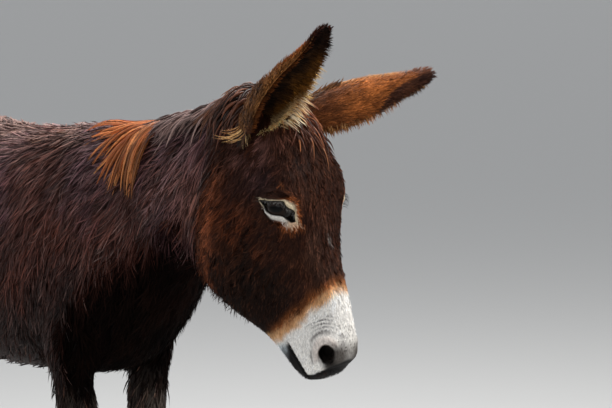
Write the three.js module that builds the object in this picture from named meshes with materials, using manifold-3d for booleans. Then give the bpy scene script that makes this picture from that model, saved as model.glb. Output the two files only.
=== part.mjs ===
// A standing donkey at life size, in millimetres: +X forwards, +Y to its left, +Z up.
// Flesh is lofted from cross sections, joined into one solid and parted with thin cuts.
// Eyes, ears, hooves and the lock over the shoulder are solids of their own. The outer
// surfaces are those of the coat, and the origin is on the floor under the middle.

import * as THREE from "three";
import { mergeVertices } from "three/addons/utils/BufferGeometryUtils.js";
import Module from "manifold-3d";

const wasm = await Module();
wasm.setup();

// Driving dimensions
const WITHERS = 1150; // floor to the top of the withers
const HEAD = 525; // poll to lips
const EAR = 250; // base to tip
const EYEBALL = 54; // diameter
const CUT = 0.4; // gap where two nodes meet

// Pose, in degrees
const FACE_PITCH = 75; // how far the face points below level
const FACE_YAW = 20; // how far the head is turned to its left
const FACE_ROLL = 0;

// Body tables are in hundredths of the height at the withers, head tables in hundredths
// of the head's length.
const BODY_UNIT = WITHERS / 100;
const HEAD_UNIT = HEAD / 100;

// back x, back z, belly x, belly z, y, half width, height of the widest level (0 belly
// to 1 back), roundness of the back, roundness of the belly: from the poll to the rump
const TRUNK = [
  [46, 106.6, 45, 91, 0.4, 5, 0.5, 2, 2],
  [41, 106.6, 39.6, 85, 0.2, 6.4, 0.48, 1.9, 2],
  [34, 105, 32.8, 79.4, 0, 7.4, 0.46, 1.8, 2.1],
  [26, 103.2, 25.8, 74, 0, 8.5, 0.45, 1.8, 2.1],
  [18, 101.8, 19.8, 69, 0, 9.8, 0.43, 1.8, 2.1],
  [11, 100.8, 15, 64.4, 0, 11.2, 0.42, 1.8, 2.1],
  [5, 100.4, 9.4, 59.4, 0, 12.6, 0.42, 1.8, 2.1],
  [-2, 100, 1, 55.8, 0, 13.8, 0.42, 1.8, 2.1],
  [-10, 99.2, -10, 54.8, 0, 15, 0.42, 1.85, 2.1],
  [-22, 98.2, -22, 53.8, 0, 16.8, 0.44, 1.95, 2.2],
  [-35, 98, -35, 53.2, 0, 17.8, 0.46, 2, 2.2],
  [-47, 98.6, -47, 54.4, 0, 17.5, 0.48, 2, 2.2],
  [-57, 99.8, -57, 57.2, 0, 16.8, 0.5, 2, 2.2],
  [-66, 100.8, -66, 60.2, 0, 16.4, 0.52, 2, 2.2],
  [-74, 100, -74, 62.8, 0, 15.4, 0.54, 2, 2.1],
  [-80, 97, -80, 65.4, 0, 13.4, 0.54, 2, 2],
  [-84.4, 91.6, -84.4, 69.6, 0, 10, 0.52, 2, 2],
];
const TRUNK_DOMES = [2, 3.4];

// along the face, top, bottom, half width, height of the widest level, crown, keel
const SKULL = [
  [0, -3, -20, 7.5, 0.6, 2.0, 2.0],
  [5, 5, -28, 11.2, 0.7, 2.2, 1.9],
  [12, 11.2, -32, 13.6, 0.76, 2.3, 1.8],
  [22, 14.8, -37, 15.6, 0.8, 2.3, 1.8],
  [32, 15.8, -41, 17, 0.82, 2.4, 1.75],
  [41, 15.2, -44.2, 17.2, 0.82, 2.4, 1.85],
  [50, 13.6, -44, 15.6, 0.78, 2.2, 2.0],
  [60, 13, -40.4, 13.4, 0.72, 2.0, 2.2],
  [70, 13.5, -32.2, 11.4, 0.62, 2.0, 2.3],
  [79, 13.6, -22.4, 10, 0.55, 2.1, 2.3],
  [86, 12.8, -15.4, 9.8, 0.52, 2.3, 2.3],
  [92, 10.4, -12, 9.2, 0.5, 2.3, 2.3],
  [96.6, 5.8, -9, 7, 0.5, 2.2, 2.2],
];
const SKULL_DOMES = [1.6, 2.4];

// z, front x, back x, y, half width
const FORELEG = [
  [80, 7, -6, 7.6, 4.2],
  [72, 7.6, -7, 8.4, 4.6],
  [64, 6.4, -7.4, 8.4, 4.5],
  [57, 5.2, -6, 7.9, 3.9],
  [49, 4.3, -4.3, 7.4, 3.3],
  [42, 3.6, -3.5, 7.2, 2.9],
  [36.8, 3.4, -3.2, 7.2, 2.85],
  [32.8, 3.8, -3.2, 7.2, 3.2],
  [28.6, 3.1, -3.1, 7.2, 2.7],
  [23, 2.2, -2.7, 7.2, 2.15],
  [17.5, 2.1, -2.9, 7.2, 2.15],
  [13.8, 2.7, -3.7, 7.2, 2.8],
  [10.8, 2.8, -2.1, 7.2, 2.3],
  [7.6, 4.3, -2.2, 7.2, 3.1],
];
const HINDLEG = [
  [90, -66, -80, 8, 4.4],
  [82, -60, -84.4, 9.4, 6],
  [74, -56, -85.6, 10.2, 6.6],
  [66, -55.8, -84.4, 10.1, 6.1],
  [58, -60, -82.9, 9.5, 5.1],
  [50, -66, -82.2, 8.9, 4.1],
  [43, -71, -82.9, 8.5, 3.4],
  [38.4, -72.8, -85, 8.3, 3.3],
  [34.4, -72.7, -83.8, 8.2, 3.35],
  [30, -73.5, -80.9, 8.2, 2.9],
  [25, -74.6, -79.9, 8.2, 2.4],
  [18, -75, -80, 8.2, 2.35],
  [14, -74.2, -80.6, 8.2, 2.9],
  [10.8, -73.4, -78.2, 8.2, 2.4],
  [7.6, -71.6, -78, 8.2, 3.1],
];
// z, growth of toe, growth of heel, growth of half width, from the coronet's outline
const HOOF = [
  [7.57, 0, 0, 0],
  [6.8, 0.3, 0.15, 0.2],
  [3.2, 1.1, 0.25, 0.4],
  [0, 1.8, 0.4, 0.6],
];
const STRIDE = 3; // how far a hoof stands ahead of or behind its pair's middle
const STRIDE_TOP = 80; // height where a leg's lean starts

// z, front x, back x, half width
const TAIL = [
  [95, -79, -85, 3.2],
  [91, -82.5, -88.6, 2.9],
  [85.5, -86.9, -91.6, 2.5],
  [78, -89.3, -93.2, 2.1],
  [68, -90.5, -93.8, 1.8],
  [59, -90.6, -94, 1.9],
  [50, -90.1, -94.8, 2.5],
  [42, -90, -95, 2.6],
  [34, -90.6, -94.4, 1.9],
  [28, -91.6, -93.2, 0.8],
];
// z, front x, back x, y, half thickness: the lock that hangs over the right shoulder
const LOCK = [
  [101.6, 17.6, 10, -1, 1],
  [99.4, 19.4, 6.4, -4.6, 1.5],
  [96.8, 21.6, 8.6, -7.6, 1.5],
  [94, 23.4, 12, -9, 1.4],
  [91.6, 23.6, 15.6, -9.6, 1],
  [90.2, 22.2, 19, -9.8, 0.6],
];

// Head features: where (along, left, up), reach, and how far the surface moves there
const FEATURES = [
  { at: [35, 15.5, 11.5], reach: 6, push: [0, 1.6, 1.4] }, // brow over the eye
  { at: [41, 16, 6.4], reach: 5, push: [0, 1.3, 0] }, // lids
  { at: [25, 13.5, 9], reach: 5.5, push: [0, -1.4, -0.8] }, // hollow behind the brow
  { at: [58, 13.5, -1], reach: 8, push: [0, 1.3, 0] }, // cheekbone
  { at: [70, 10, -10], reach: 8, push: [0, -1.6, 0] }, // hollow of the cheek
  { at: [38, 10, -24], reach: 11, push: [0, 1.5, 0] }, // jaw muscle
  { at: [92, 8, 6], reach: 5.5, push: [0, 1.3, 0.3] }, // rim of the nostril
  { at: [80, 8, 8], reach: 6, push: [0, -1.2, 0] }, // hollow over the muzzle
];
const EYE_AT = [40.6, 13.1, 5.3];
const EYE_FORWARD = [0.15, 0.95, 0.2]; // where the eye looks
const LID_SLANT = 46; // degrees between the lids' corners and the face's line
const LID_RADII = [37, 14.5, 15]; // half the opening: long way, short way, depth
const NOSTRIL_AT = [91, 8.2, 5.6];
const NOSTRIL_RADII = [4.2, 3.2, 2.4];
const NOSTRIL_TURN = 40; // degrees from the face's line
const HEAD_AT = [46.9, 0.6, 107.2]; // the poll, in the trunk's units

// Each ear: base, direction of its tip, direction that its cup faces, in the head's frame
const EARS = {
  right: { base: [12.6, -14, 3.2], tip: [-0.46, -0.18, 0.9], cup: [0.73, -0.34, 0.6] },
  left: { base: [12, 11.4, 7], tip: [-0.13, 0.8, 0.58], cup: [0.4, 0.5, -0.77] },
};
// length share, half width, arc half angle in degrees, forward bow: shares of ear length
const EAR_SHAPE = [
  [-0.12, 0.09, 140, -0.02],
  [0, 0.112, 130, 0],
  [0.12, 0.148, 112, 0.01],
  [0.27, 0.17, 96, 0.018],
  [0.45, 0.163, 84, 0.022],
  [0.63, 0.128, 76, 0.018],
  [0.79, 0.095, 74, 0.006],
  [0.92, 0.068, 64, -0.01],
  [1, 0.028, 50, -0.02],
];
const EAR_THICK = 0.034;

// Where the flesh is parted: each plane is a point on it and the way into the node.
// Head planes are in the head's frame and units, and the others in the body's.
const UPPER = [[0, 0, 62], [0, 0, 1]];
const HEAD_PARTING = [[[39.2, 0, 95], [0.91, 0.24, -0.34]], UPPER];
const LIP_PARTING = [[[84.6, 0, 0], [1, 0, 0]], [[84.6, 0, -7.6], [0.12, 0, -1]]];
const MUZZLE_PARTING = [[[76.4, 0, 0], [1, 0, 0.4]]];
const BODY_PARTINGS = [
  ["mane", "mane", [[[8, 0, 0], [1, 0, 0]], [[8, 0, 97.4], [-0.17, 0, 1]]]],
  ["neck", "coat", [[[12, 0, 90], [0.96, 0, 0.28]]]],
  ["tail_switch", "mane", [[[-88.8, 0, 58], [-1, 0, 0]], [[0, 0, 58], [0, 0, -1]]]],
  ["tail_dock", "coat", [[[-85.5, 0, 90], [-1, 0, -0.25]], [[-88.5, 0, 0], [-1, 0, 0]]]],
];
const TRUNK_PARTINGS = [
  ["chest", "coat", [[[-13, 0, 76], [1, 0, 0.2]]]],
  ["barrel", "coat", [[[-56, 0, 76], [1, 0, -0.15]]]],
];
const FORWARD_HALF = [[-10, 0, 0], [1, 0, 0]];
const REAR_HALF = [[-35, 0, 0], [-1, 0, 0]];
const LEG_PARTINGS = {
  fore: {
    lower: [FORWARD_HALF, [[0, 0, 34], [0, 0, -1]]],
    upper: [FORWARD_HALF, [[0, 0, 54], [0, 0, -1]]],
  },
  hind: {
    lower: [REAR_HALF, [[-78, 0, 36], [-0.2, 0, -1]]],
    upper: [REAR_HALF, [[-60, 0, 57], [-0.35, 0, -1]]],
  },
};

const vec = (p) => new THREE.Vector3(...p);
const toRadians = THREE.MathUtils.degToRad;

// Catmull-Rom blend of a table's rows at t, where whole numbers fall on the rows.
function rowAt(rows, t) {
  const start = Math.min(Math.floor(t), rows.length - 2);
  const u = t - start;
  const [a, b, c, d] = [-1, 0, 1, 2].map(
    (k) => rows[THREE.MathUtils.clamp(start + k, 0, rows.length - 1)],
  );
  return b.map((_, k) => {
    const slope = c[k] - a[k];
    const bend = 2 * a[k] - 5 * b[k] + 4 * c[k] - d[k];
    const twist = 3 * b[k] - a[k] - 3 * c[k] + d[k];
    return b[k] + 0.5 * u * (slope + u * (bend + u * twist));
  });
}

// All the rows of a table, with the given number of steps between each two.
function fill(rows, steps) {
  const count = Math.round((rows.length - 1) * steps);
  return Array.from({ length: count + 1 }, (_, i) =>
    rowAt(rows, ((rows.length - 1) * i) / count),
  );
}

// One cross section between an upper and a lower point, with rounded sides.
function ring(section, sides) {
  const { over, under, side, wide, widest = 0.5, crown = 2, keel = 2 } = section;
  const middle = under.clone().lerp(over, widest);
  const up = over.clone().sub(middle);
  const down = under.clone().sub(middle);
  return Array.from({ length: sides }, (_, i) => {
    const angle = (2 * Math.PI * (i + 0.5)) / sides;
    const [c, s] = [Math.cos(angle), Math.sin(angle)];
    const power = 2 / (s > 0 ? crown : keel);
    const across = wide * Math.sign(c) * Math.abs(c) ** power;
    return middle
      .clone()
      .addScaledVector(side, across)
      .addScaledVector(s > 0 ? up : down, Math.abs(s) ** power);
  });
}

const mirrored = (p, hand) => vec(p).multiply(vec([1, hand, 1]));

const centreOf = (points) =>
  points.reduce((sum, p) => sum.add(p), vec([0, 0, 0])).divideScalar(points.length);

// A rounded end beyond a ring: smaller rings that lead to a single point.
function dome(points, inner, length) {
  const centre = centreOf(points);
  const out = centre.clone().sub(centreOf(inner)).normalize();
  const rings = length > 0 ? [30, 60].map(toRadians) : [];
  const capRings = rings.map((a) =>
    points.map((p) =>
      centre
        .clone()
        .lerp(p, Math.cos(a))
        .addScaledVector(out, length * Math.sin(a)),
    ),
  );
  return { rings: capRings, pole: centre.addScaledVector(out, length) };
}

// A closed surface through cross sections.
function loft(sections, sides, domes = [0, 0]) {
  const body = sections.map((s) => ring(s, sides));
  const start = dome(body[0], body[1], domes[0]);
  const end = dome(body.at(-1), body.at(-2), domes[1]);
  const rings = [...start.rings.reverse(), ...body, ...end.rings];
  const points = [...rings.flat(), start.pole, end.pole];
  const [startPole, endPole] = [points.length - 2, points.length - 1];
  const lastRow = (rings.length - 1) * sides;
  const index = [];
  for (let j = 0; j < sides; j++) {
    const k = (j + 1) % sides;
    index.push(startPole, k, j, endPole, lastRow + j, lastRow + k);
    for (let row = 0; row < lastRow; row += sides) {
      index.push(row + j, row + k, row + sides + j);
      index.push(row + k, row + sides + k, row + sides + j);
    }
  }
  return new THREE.BufferGeometry().setFromPoints(points).setIndex(index);
}

// A thick sheet between two surfaces, each a function of two shares from 0 to 1.
function thickSheet(outer, inner, rows, columns) {
  const points = [];
  for (const surface of [outer, inner])
    for (let i = 0; i <= rows; i++)
      for (let j = 0; j <= columns; j++) points.push(surface(i / rows, j / columns));
  const at = (layer, i, j) => (layer * (rows + 1) + i) * (columns + 1) + j;
  const index = [];
  const quad = (a, b, c, d) => index.push(a, b, c, a, c, d);
  for (let i = 0; i < rows; i++) {
    for (let j = 0; j < columns; j++) {
      quad(at(0, i, j), at(0, i + 1, j), at(0, i + 1, j + 1), at(0, i, j + 1));
      quad(at(1, i, j), at(1, i, j + 1), at(1, i + 1, j + 1), at(1, i + 1, j));
    }
    quad(at(0, i, 0), at(1, i, 0), at(1, i + 1, 0), at(0, i + 1, 0));
    const j = columns;
    quad(at(0, i, j), at(0, i + 1, j), at(1, i + 1, j), at(1, i, j));
  }
  for (let j = 0; j < columns; j++) {
    quad(at(0, 0, j), at(0, 0, j + 1), at(1, 0, j + 1), at(1, 0, j));
    const i = rows;
    quad(at(0, i, j), at(1, i, j), at(1, i, j + 1), at(0, i, j + 1));
  }
  return new THREE.BufferGeometry().setFromPoints(points).setIndex(index);
}

// A geometry as a manifold-3d solid whose faces point out.
function solidOf(geometry, matrix = new THREE.Matrix4()) {
  const bare = new THREE.BufferGeometry()
    .setAttribute("position", geometry.getAttribute("position").clone())
    .setIndex(geometry.index)
    .applyMatrix4(matrix);
  const merged = mergeVertices(bare, 1e-3);
  const vertProperties = new Float32Array(merged.attributes.position.array);
  const make = (order) => {
    const triVerts = Uint32Array.from(merged.index.array);
    for (let i = 0; i < triVerts.length; i += 3) {
      const [a, b, c] = order.map((k) => merged.index.array[i + k]);
      triVerts.set([a, b, c], i);
    }
    return new wasm.Manifold(new wasm.Mesh({ numProp: 3, vertProperties, triVerts }));
  };
  const made = make([0, 1, 2]);
  return made.volume() > 0 ? made : make([0, 2, 1]);
}

function geometryOf(solid) {
  const mesh = solid.getMesh();
  const points = [];
  for (let i = 0; i < mesh.numVert; i++)
    points.push(vec(mesh.vertProperties.subarray(i * mesh.numProp, i * mesh.numProp + 3)));
  return new THREE.BufferGeometry()
    .setFromPoints(points)
    .setIndex(Array.from(mesh.triVerts));
}

// Everything on the side of a plane that its normal points to, from a gap beyond it.
function beyond([origin, normal], gap) {
  const size = 4 * WITHERS;
  const box = new THREE.BoxGeometry(size, size, size).translate(0, 0, size / 2 + gap);
  const out = vec(normal).normalize();
  const turn = new THREE.Quaternion().setFromUnitVectors(vec([0, 0, 1]), out);
  const matrix = new THREE.Matrix4().compose(vec(origin), turn, vec([1, 1, 1]));
  return solidOf(box, matrix);
}

// Parts a solid in two: what lies beyond all the planes, and the rest.
function part(solid, planes, unit) {
  const scaled = planes.map(([origin, normal]) => [origin.map((v) => v * unit), normal]);
  const piece = scaled.reduce((s, p) => s.intersect(beyond(p, CUT / 2)), solid);
  const room = scaled.map((p) => beyond(p, -CUT / 2)).reduce((a, b) => a.intersect(b));
  return [piece, solid.subtract(room)];
}

const LEFTWARDS = vec([0, 1, 0]);

function trunk(grow = 0) {
  const u = BODY_UNIT;
  const sections = fill(TRUNK, 1.25).map((row) => {
    const [backX, backZ, bellyX, bellyZ, y, wide, widest, crown, keel] = row;
    return {
      over: vec([backX * u, y * u, backZ * u + grow]),
      under: vec([bellyX * u, y * u, bellyZ * u - grow]),
      side: LEFTWARDS,
      wide: wide * u + grow,
      widest,
      crown,
      keel,
    };
  });
  return loft(sections, 24, TRUNK_DOMES.map((d) => d * u));
}

// Moves the points near each feature, on both sides of the head.
function sculpt(geometry, features) {
  const position = geometry.getAttribute("position");
  const point = new THREE.Vector3();
  for (let i = 0; i < position.count; i++) {
    point.fromBufferAttribute(position, i);
    const move = vec([0, 0, 0]);
    for (const { at, reach, push } of features)
      for (const hand of [1, -1]) {
        const centre = mirrored(at, hand).multiplyScalar(HEAD_UNIT);
        const near = point.distanceTo(centre) / (reach * HEAD_UNIT);
        const share = Math.exp(-near * near) * HEAD_UNIT;
        move.addScaledVector(mirrored(push, hand), share);
      }
    point.add(move);
    position.setXYZ(i, ...point);
  }
  return geometry;
}

function skull(grow = 0) {
  const u = HEAD_UNIT;
  const sections = fill(SKULL, 1.25).map(
    ([along, top, bottom, wide, widest, crown, keel]) => ({
      over: vec([along * u, 0, top * u + grow]),
      under: vec([along * u, 0, bottom * u - grow]),
      side: LEFTWARDS,
      wide: wide * u + grow,
      widest,
      crown,
      keel,
    }),
  );
  return sculpt(loft(sections, 24, SKULL_DOMES.map((d) => d * u + grow)), FEATURES);
}

// A leg stands a little ahead of its pair's middle, or behind it.
function legSections(table, hand, ahead, steps) {
  const u = BODY_UNIT;
  return fill(table, steps).map(([z, front, back, y, wide]) => {
    const lean = ahead * STRIDE * THREE.MathUtils.clamp(1 - z / STRIDE_TOP, 0, 1);
    return {
      over: vec([(front + lean) * u, hand * y * u, z * u]),
      under: vec([(back + lean) * u, hand * y * u, z * u]),
      side: LEFTWARDS,
      wide: wide * u,
    };
  });
}

function hoof({ table, hand, ahead }) {
  const [, front, back, y, wide] = table.at(-1);
  const rows = HOOF.map(([z, toe, heel, out]) => [
    z,
    front + toe,
    back - heel,
    y,
    wide + out,
  ]);
  return loft(legSections(rows, hand, ahead, 1), 14);
}

function tail() {
  const rows = TAIL.map(([z, front, back, wide]) => [z, front, back, 0, wide]);
  return loft(legSections(rows, 1, 0, 1.3), 10, [0, 8]);
}

// A cupped leaf that stands on its base and narrows to a rounded tip.
function ear({ base, tip, cup }) {
  const out = vec(tip).normalize();
  const across = vec(cup).cross(out).normalize();
  const facing = out.clone().cross(across).normalize();
  const root = vec(base).multiplyScalar(HEAD_UNIT);
  const surface = (depth) => (t, s) => {
    const [share, half, arc, bow] = rowAt(EAR_SHAPE, t * (EAR_SHAPE.length - 1));
    const angle = toRadians(arc) * (2 * s - 1);
    const full = half / Math.sin(Math.min(toRadians(arc), Math.PI / 2));
    const radius = Math.max(full - depth * EAR_THICK * Math.min(1, half / 0.1), 0.004);
    return root
      .clone()
      .addScaledVector(out, share * EAR)
      .addScaledVector(across, radius * Math.sin(angle) * EAR)
      .addScaledVector(facing, (bow - radius * Math.cos(angle)) * EAR);
  };
  return thickSheet(surface(0), surface(1), 12, 8);
}

function nostril(hand) {
  const u = HEAD_UNIT;
  return new THREE.SphereGeometry(1, 12, 8)
    .scale(...NOSTRIL_RADII.map((r) => r * u))
    .rotateY(toRadians(NOSTRIL_TURN))
    .translate(...mirrored(NOSTRIL_AT, hand).multiplyScalar(u));
}

const eyeCentre = (hand) => mirrored(EYE_AT, hand).multiplyScalar(HEAD_UNIT);

function eyeball(hand, radius) {
  return new THREE.SphereGeometry(radius, 16, 10).translate(...eyeCentre(hand));
}

// The hollow between the lids, an almond that opens where the eye looks.
function opening(hand) {
  const look = mirrored(EYE_FORWARD, hand).normalize();
  const slant = toRadians(LID_SLANT);
  const along = vec([Math.cos(slant), 0, Math.sin(slant)]);
  along.addScaledVector(look, -along.dot(look)).normalize();
  const turn = new THREE.Matrix4().makeBasis(along, look.clone().cross(along), look);
  const centre = eyeCentre(hand).addScaledVector(look, EYEBALL / 2);
  return new THREE.SphereGeometry(1, 14, 8)
    .scale(...LID_RADII)
    .applyMatrix4(turn)
    .translate(...centre);
}

// The head's own frame: its X runs down the face, and its Z stands out of the forehead.
const head = new THREE.Group();
const faceTurn = [FACE_ROLL, FACE_PITCH, FACE_YAW].map(toRadians);
head.rotation.set(...faceTurn, "ZYX");
head.position.set(...vec(HEAD_AT).multiplyScalar(BODY_UNIT));
head.updateMatrixWorld(true);
const toBody = head.matrixWorld.elements;
const toHead = head.matrixWorld.clone().invert().elements;

const colours = {
  coat: { color: "#2f1d1a", roughness: 0.75 },
  legs: { color: "#1f1513", roughness: 0.75 },
  muzzle: { color: "#cfc9c4", roughness: 0.7 },
  lip: { color: "#2b2829", roughness: 0.6 },
  ear: { color: "#5a3421", roughness: 0.85 },
  eye: { color: "#0b0806", roughness: 0.08 },
  hoof: { color: "#3a332e", roughness: 0.5 },
  mane: { color: "#2a1a17", roughness: 0.8 },
  ginger: { color: "#8c4a22", roughness: 0.8 },
};

function mesh(name, geometry, look) {
  const made = new THREE.Mesh(geometry, new THREE.MeshStandardMaterial(colours[look]));
  made.name = name;
  return made;
}

const SIDES = { left: 1, right: -1 };
const LEGS = {
  foreleg_left: { table: FORELEG, cuts: LEG_PARTINGS.fore, hand: 1, ahead: -1 },
  foreleg_right: { table: FORELEG, cuts: LEG_PARTINGS.fore, hand: -1, ahead: 1 },
  hindleg_left: { table: HINDLEG, cuts: LEG_PARTINGS.hind, hand: 1, ahead: 1 },
  hindleg_right: { table: HINDLEG, cuts: LEG_PARTINGS.hind, hand: -1, ahead: -1 },
};

// One solid of all the flesh, in the body's frame
const hollows = Object.values(SIDES).flatMap((hand) => [
  solidOf(nostril(hand)),
  solidOf(opening(hand)),
  solidOf(eyeball(hand, EYEBALL / 2 + CUT)),
]);
const skullSolid = hollows.reduce((s, hollow) => s.subtract(hollow), solidOf(skull()));
const legSolids = Object.values(LEGS).map(({ table, hand, ahead }) =>
  solidOf(loft(legSections(table, hand, ahead, 1.15), 12)),
);
let flesh = [skullSolid.transform(toBody), solidOf(tail()), ...legSolids].reduce(
  (s, piece) => s.add(piece),
  solidOf(trunk()),
);

const donkey = new THREE.Group();
donkey.add(head);

// Adds a node parted from the flesh.
function take(name, look, planes) {
  const [piece, rest] = part(flesh, planes, BODY_UNIT);
  donkey.add(mesh(name, geometryOf(piece), look));
  flesh = rest;
}

let face;
[face, flesh] = part(flesh, HEAD_PARTING, BODY_UNIT);
const [lip, aboveLip] = part(face.transform(toHead), LIP_PARTING, HEAD_UNIT);
const [muzzle, cranium] = part(aboveLip, MUZZLE_PARTING, HEAD_UNIT);
head.add(mesh("head", geometryOf(cranium), "coat"));
head.add(mesh("muzzle", geometryOf(muzzle), "muzzle"));
head.add(mesh("lower_lip", geometryOf(lip), "lip"));
const aroundEars = solidOf(skull(CUT)).add(solidOf(trunk(CUT)).transform(toHead));
for (const [name, hand] of Object.entries(SIDES)) {
  const cupped = solidOf(ear(EARS[name])).subtract(aroundEars);
  head.add(mesh("ear_" + name, geometryOf(cupped), "ear"));
  head.add(mesh("eye_" + name, eyeball(hand, EYEBALL / 2), "eye"));
}

for (const parting of BODY_PARTINGS) take(...parting);
for (const [name, leg] of Object.entries(LEGS)) {
  const beside = [[0, 0, 0], [0, leg.hand, 0]];
  take(name + "_lower", "legs", [beside, ...leg.cuts.lower]);
  take(name + "_upper", "coat", [beside, ...leg.cuts.upper]);
  donkey.add(mesh(name + "_hoof", hoof(leg), "hoof"));
}
for (const parting of TRUNK_PARTINGS) take(...parting);
donkey.add(mesh("hindquarters", geometryOf(flesh), "coat"));

const lock = solidOf(loft(legSections(LOCK, 1, 0, 1.4), 8)).subtract(solidOf(trunk(CUT)));
donkey.add(mesh("shoulder_lock", geometryOf(lock), "ginger"));

// The origin goes on the floor under the middle.
const middle = new THREE.Box3().setFromObject(donkey, true).getCenter(new THREE.Vector3());
donkey.position.set(-middle.x, -middle.y, 0);

export default donkey;
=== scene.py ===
# A life-size standing donkey: one skin over the flesh, a coat of mesh tufts that follows its lie,
# long hair, eyes, ears and hooves.
import math

import bpy
import numpy as np
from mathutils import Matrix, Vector
from mathutils.bvhtree import BVHTree


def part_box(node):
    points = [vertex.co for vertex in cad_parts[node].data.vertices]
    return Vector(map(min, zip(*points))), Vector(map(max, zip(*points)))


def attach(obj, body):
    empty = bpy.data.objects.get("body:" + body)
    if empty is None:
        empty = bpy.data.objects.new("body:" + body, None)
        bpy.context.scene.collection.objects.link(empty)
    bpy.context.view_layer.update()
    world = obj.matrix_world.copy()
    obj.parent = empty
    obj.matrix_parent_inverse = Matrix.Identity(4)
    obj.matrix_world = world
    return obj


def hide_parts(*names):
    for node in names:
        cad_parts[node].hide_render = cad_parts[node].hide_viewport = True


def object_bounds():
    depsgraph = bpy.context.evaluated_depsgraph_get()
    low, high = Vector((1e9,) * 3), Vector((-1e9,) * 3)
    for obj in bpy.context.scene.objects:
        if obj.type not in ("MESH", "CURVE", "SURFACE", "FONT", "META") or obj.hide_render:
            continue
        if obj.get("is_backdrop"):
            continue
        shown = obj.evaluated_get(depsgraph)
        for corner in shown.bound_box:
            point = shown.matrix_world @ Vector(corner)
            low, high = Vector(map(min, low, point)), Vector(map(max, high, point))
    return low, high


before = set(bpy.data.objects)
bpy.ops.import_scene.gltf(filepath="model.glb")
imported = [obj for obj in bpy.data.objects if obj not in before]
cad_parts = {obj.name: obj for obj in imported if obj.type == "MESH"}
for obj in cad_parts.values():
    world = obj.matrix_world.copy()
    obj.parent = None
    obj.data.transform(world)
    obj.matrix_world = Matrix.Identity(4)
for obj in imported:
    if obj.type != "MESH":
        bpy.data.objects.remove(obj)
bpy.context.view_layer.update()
THIN = 1.0
rng = np.random.default_rng(11)

# ---------------------------------------------------------------- frames and sizes
BODY = 0.0115  # one body unit, a hundredth of the height at the withers
HEAD = 0.00525  # one head unit, a hundredth of the head's length
EAR = 0.25  # an ear's length
EYEBALL = 0.027  # an eyeball's radius
MM = 1000  # millimetres in a metre
RIGHT, LEFT = -1, 1
SIDES = {"right": RIGHT, "left": LEFT}


def unit(v):
    v = np.asarray(v, float)
    return v / np.maximum(np.linalg.norm(v, axis=-1, keepdims=True), 1e-12)


def turn(axis, degrees):
    c, s = math.cos(math.radians(degrees)), math.sin(math.radians(degrees))
    if axis == "y":
        return np.array([[c, 0, s], [0, 1, 0], [-s, 0, c]])
    return np.array([[c, -s, 0], [s, c, 0], [0, 0, 1]])


# The head's own axes: down the face, to its left, out of the forehead
FACE = turn("z", 20) @ turn("y", 75)
EYE_AT = np.array([40.6, 13.1, 5.3])
HEAD_FROM_TRUNK = np.array([46.9, 0.6, 107.2]) * BODY
eye_low, eye_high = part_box("eye_left")
POLL = (np.array(eye_low) + np.array(eye_high)) / 2 - FACE @ EYE_AT * HEAD
SHIFT = POLL - HEAD_FROM_TRUNK


def in_head(P):
    return (P - POLL) @ FACE / HEAD


def from_head(Q):
    return np.asarray(Q, float) * HEAD @ FACE.T + POLL


def in_body(P):
    return (P - SHIFT) / BODY


def from_body(Q):
    return np.asarray(Q, float) * BODY + SHIFT


def ramp(a, b, x):
    t = np.clip((x - a) / (b - a), 0, 1)
    return t * t * (3 - 2 * t)


def bell(x, centre, width):
    return np.exp(-(((x - centre) / width) ** 2))


def curve(x, xs, ys):
    """A smooth curve through a few named points."""
    slope = np.gradient(ys, xs)
    i = np.clip(np.searchsorted(xs, x) - 1, 0, len(xs) - 2)
    h = xs[i + 1] - xs[i]
    t = np.clip((x - xs[i]) / h, 0, 1)
    a, b, c, d = ys[i], ys[i + 1], slope[i] * h, slope[i + 1] * h
    return (
        a * (2 * t**3 - 3 * t**2 + 1) + b * (3 * t**2 - 2 * t**3)
        + c * (t**3 - 2 * t**2 + t) + d * (t**3 - t**2)
    )


CORNERS = np.array([[c & 1, c >> 1 & 1, c >> 2 & 1] for c in range(8)])  # of a grid's cell


def noise(P, size, seed):
    """Smooth value noise from -1 to 1."""
    q = np.asarray(P) / size + 512.37
    i = np.floor(q).astype(np.int64)
    f = q - i
    f = f * f * (3 - 2 * f)
    out = np.zeros(len(q))
    for o in CORNERS:
        x, y, z = (i + o).T
        h = (x * 73856093) ^ (y * 19349663) ^ (z * 83492791) ^ (seed * 40503 + 977)
        h = ((h ^ (h >> 13)) * 1274126177) & 0xFFFFFFFF
        h = ((h ^ (h >> 16)) * 668265263) & 0xFFFFFFFF
        h = (h ^ (h >> 15)) & 0xFFFF
        out += np.prod(np.where(o, f, 1 - f), axis=1) * (h / 32767.5 - 1)
    return out


def streaks(P, size, seed):
    """Noise as a vector."""
    return np.stack([noise(P, size, seed + k) for k in range(3)], 1)


def between(a, b, t):
    return a * (1 - t) + b * t


def srgb(text):
    c = np.array([int(text[i : i + 2], 16) for i in (0, 2, 4)]) / 255
    return np.where(c <= 0.04045, c / 12.92, ((c + 0.055) / 1.055) ** 2.4)


def mix(a, b, t):
    """Colours between a and b, one for each share in t."""
    return between(a, b, np.asarray(t)[..., None])


def dye(c, colour, t):
    return mix(c, srgb(colour), t)


def blend(a, b, t):
    return mix(srgb(a), srgb(b), t)


def flat_on(D, N):
    """The ways D as unit vectors along the surface whose normals are N."""
    return unit(D - N * (D * N).sum(1, keepdims=True))


# ---------------------------------------------------------------- mesh tools
def arrays(mesh):
    V = np.empty(len(mesh.vertices) * 3)
    mesh.vertices.foreach_get("co", V)
    mesh.calc_loop_triangles()
    F = np.empty(len(mesh.loop_triangles) * 3, np.int64)
    mesh.loop_triangles.foreach_get("vertices", F)
    return V.reshape(-1, 3), F.reshape(-1, 3)


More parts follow.
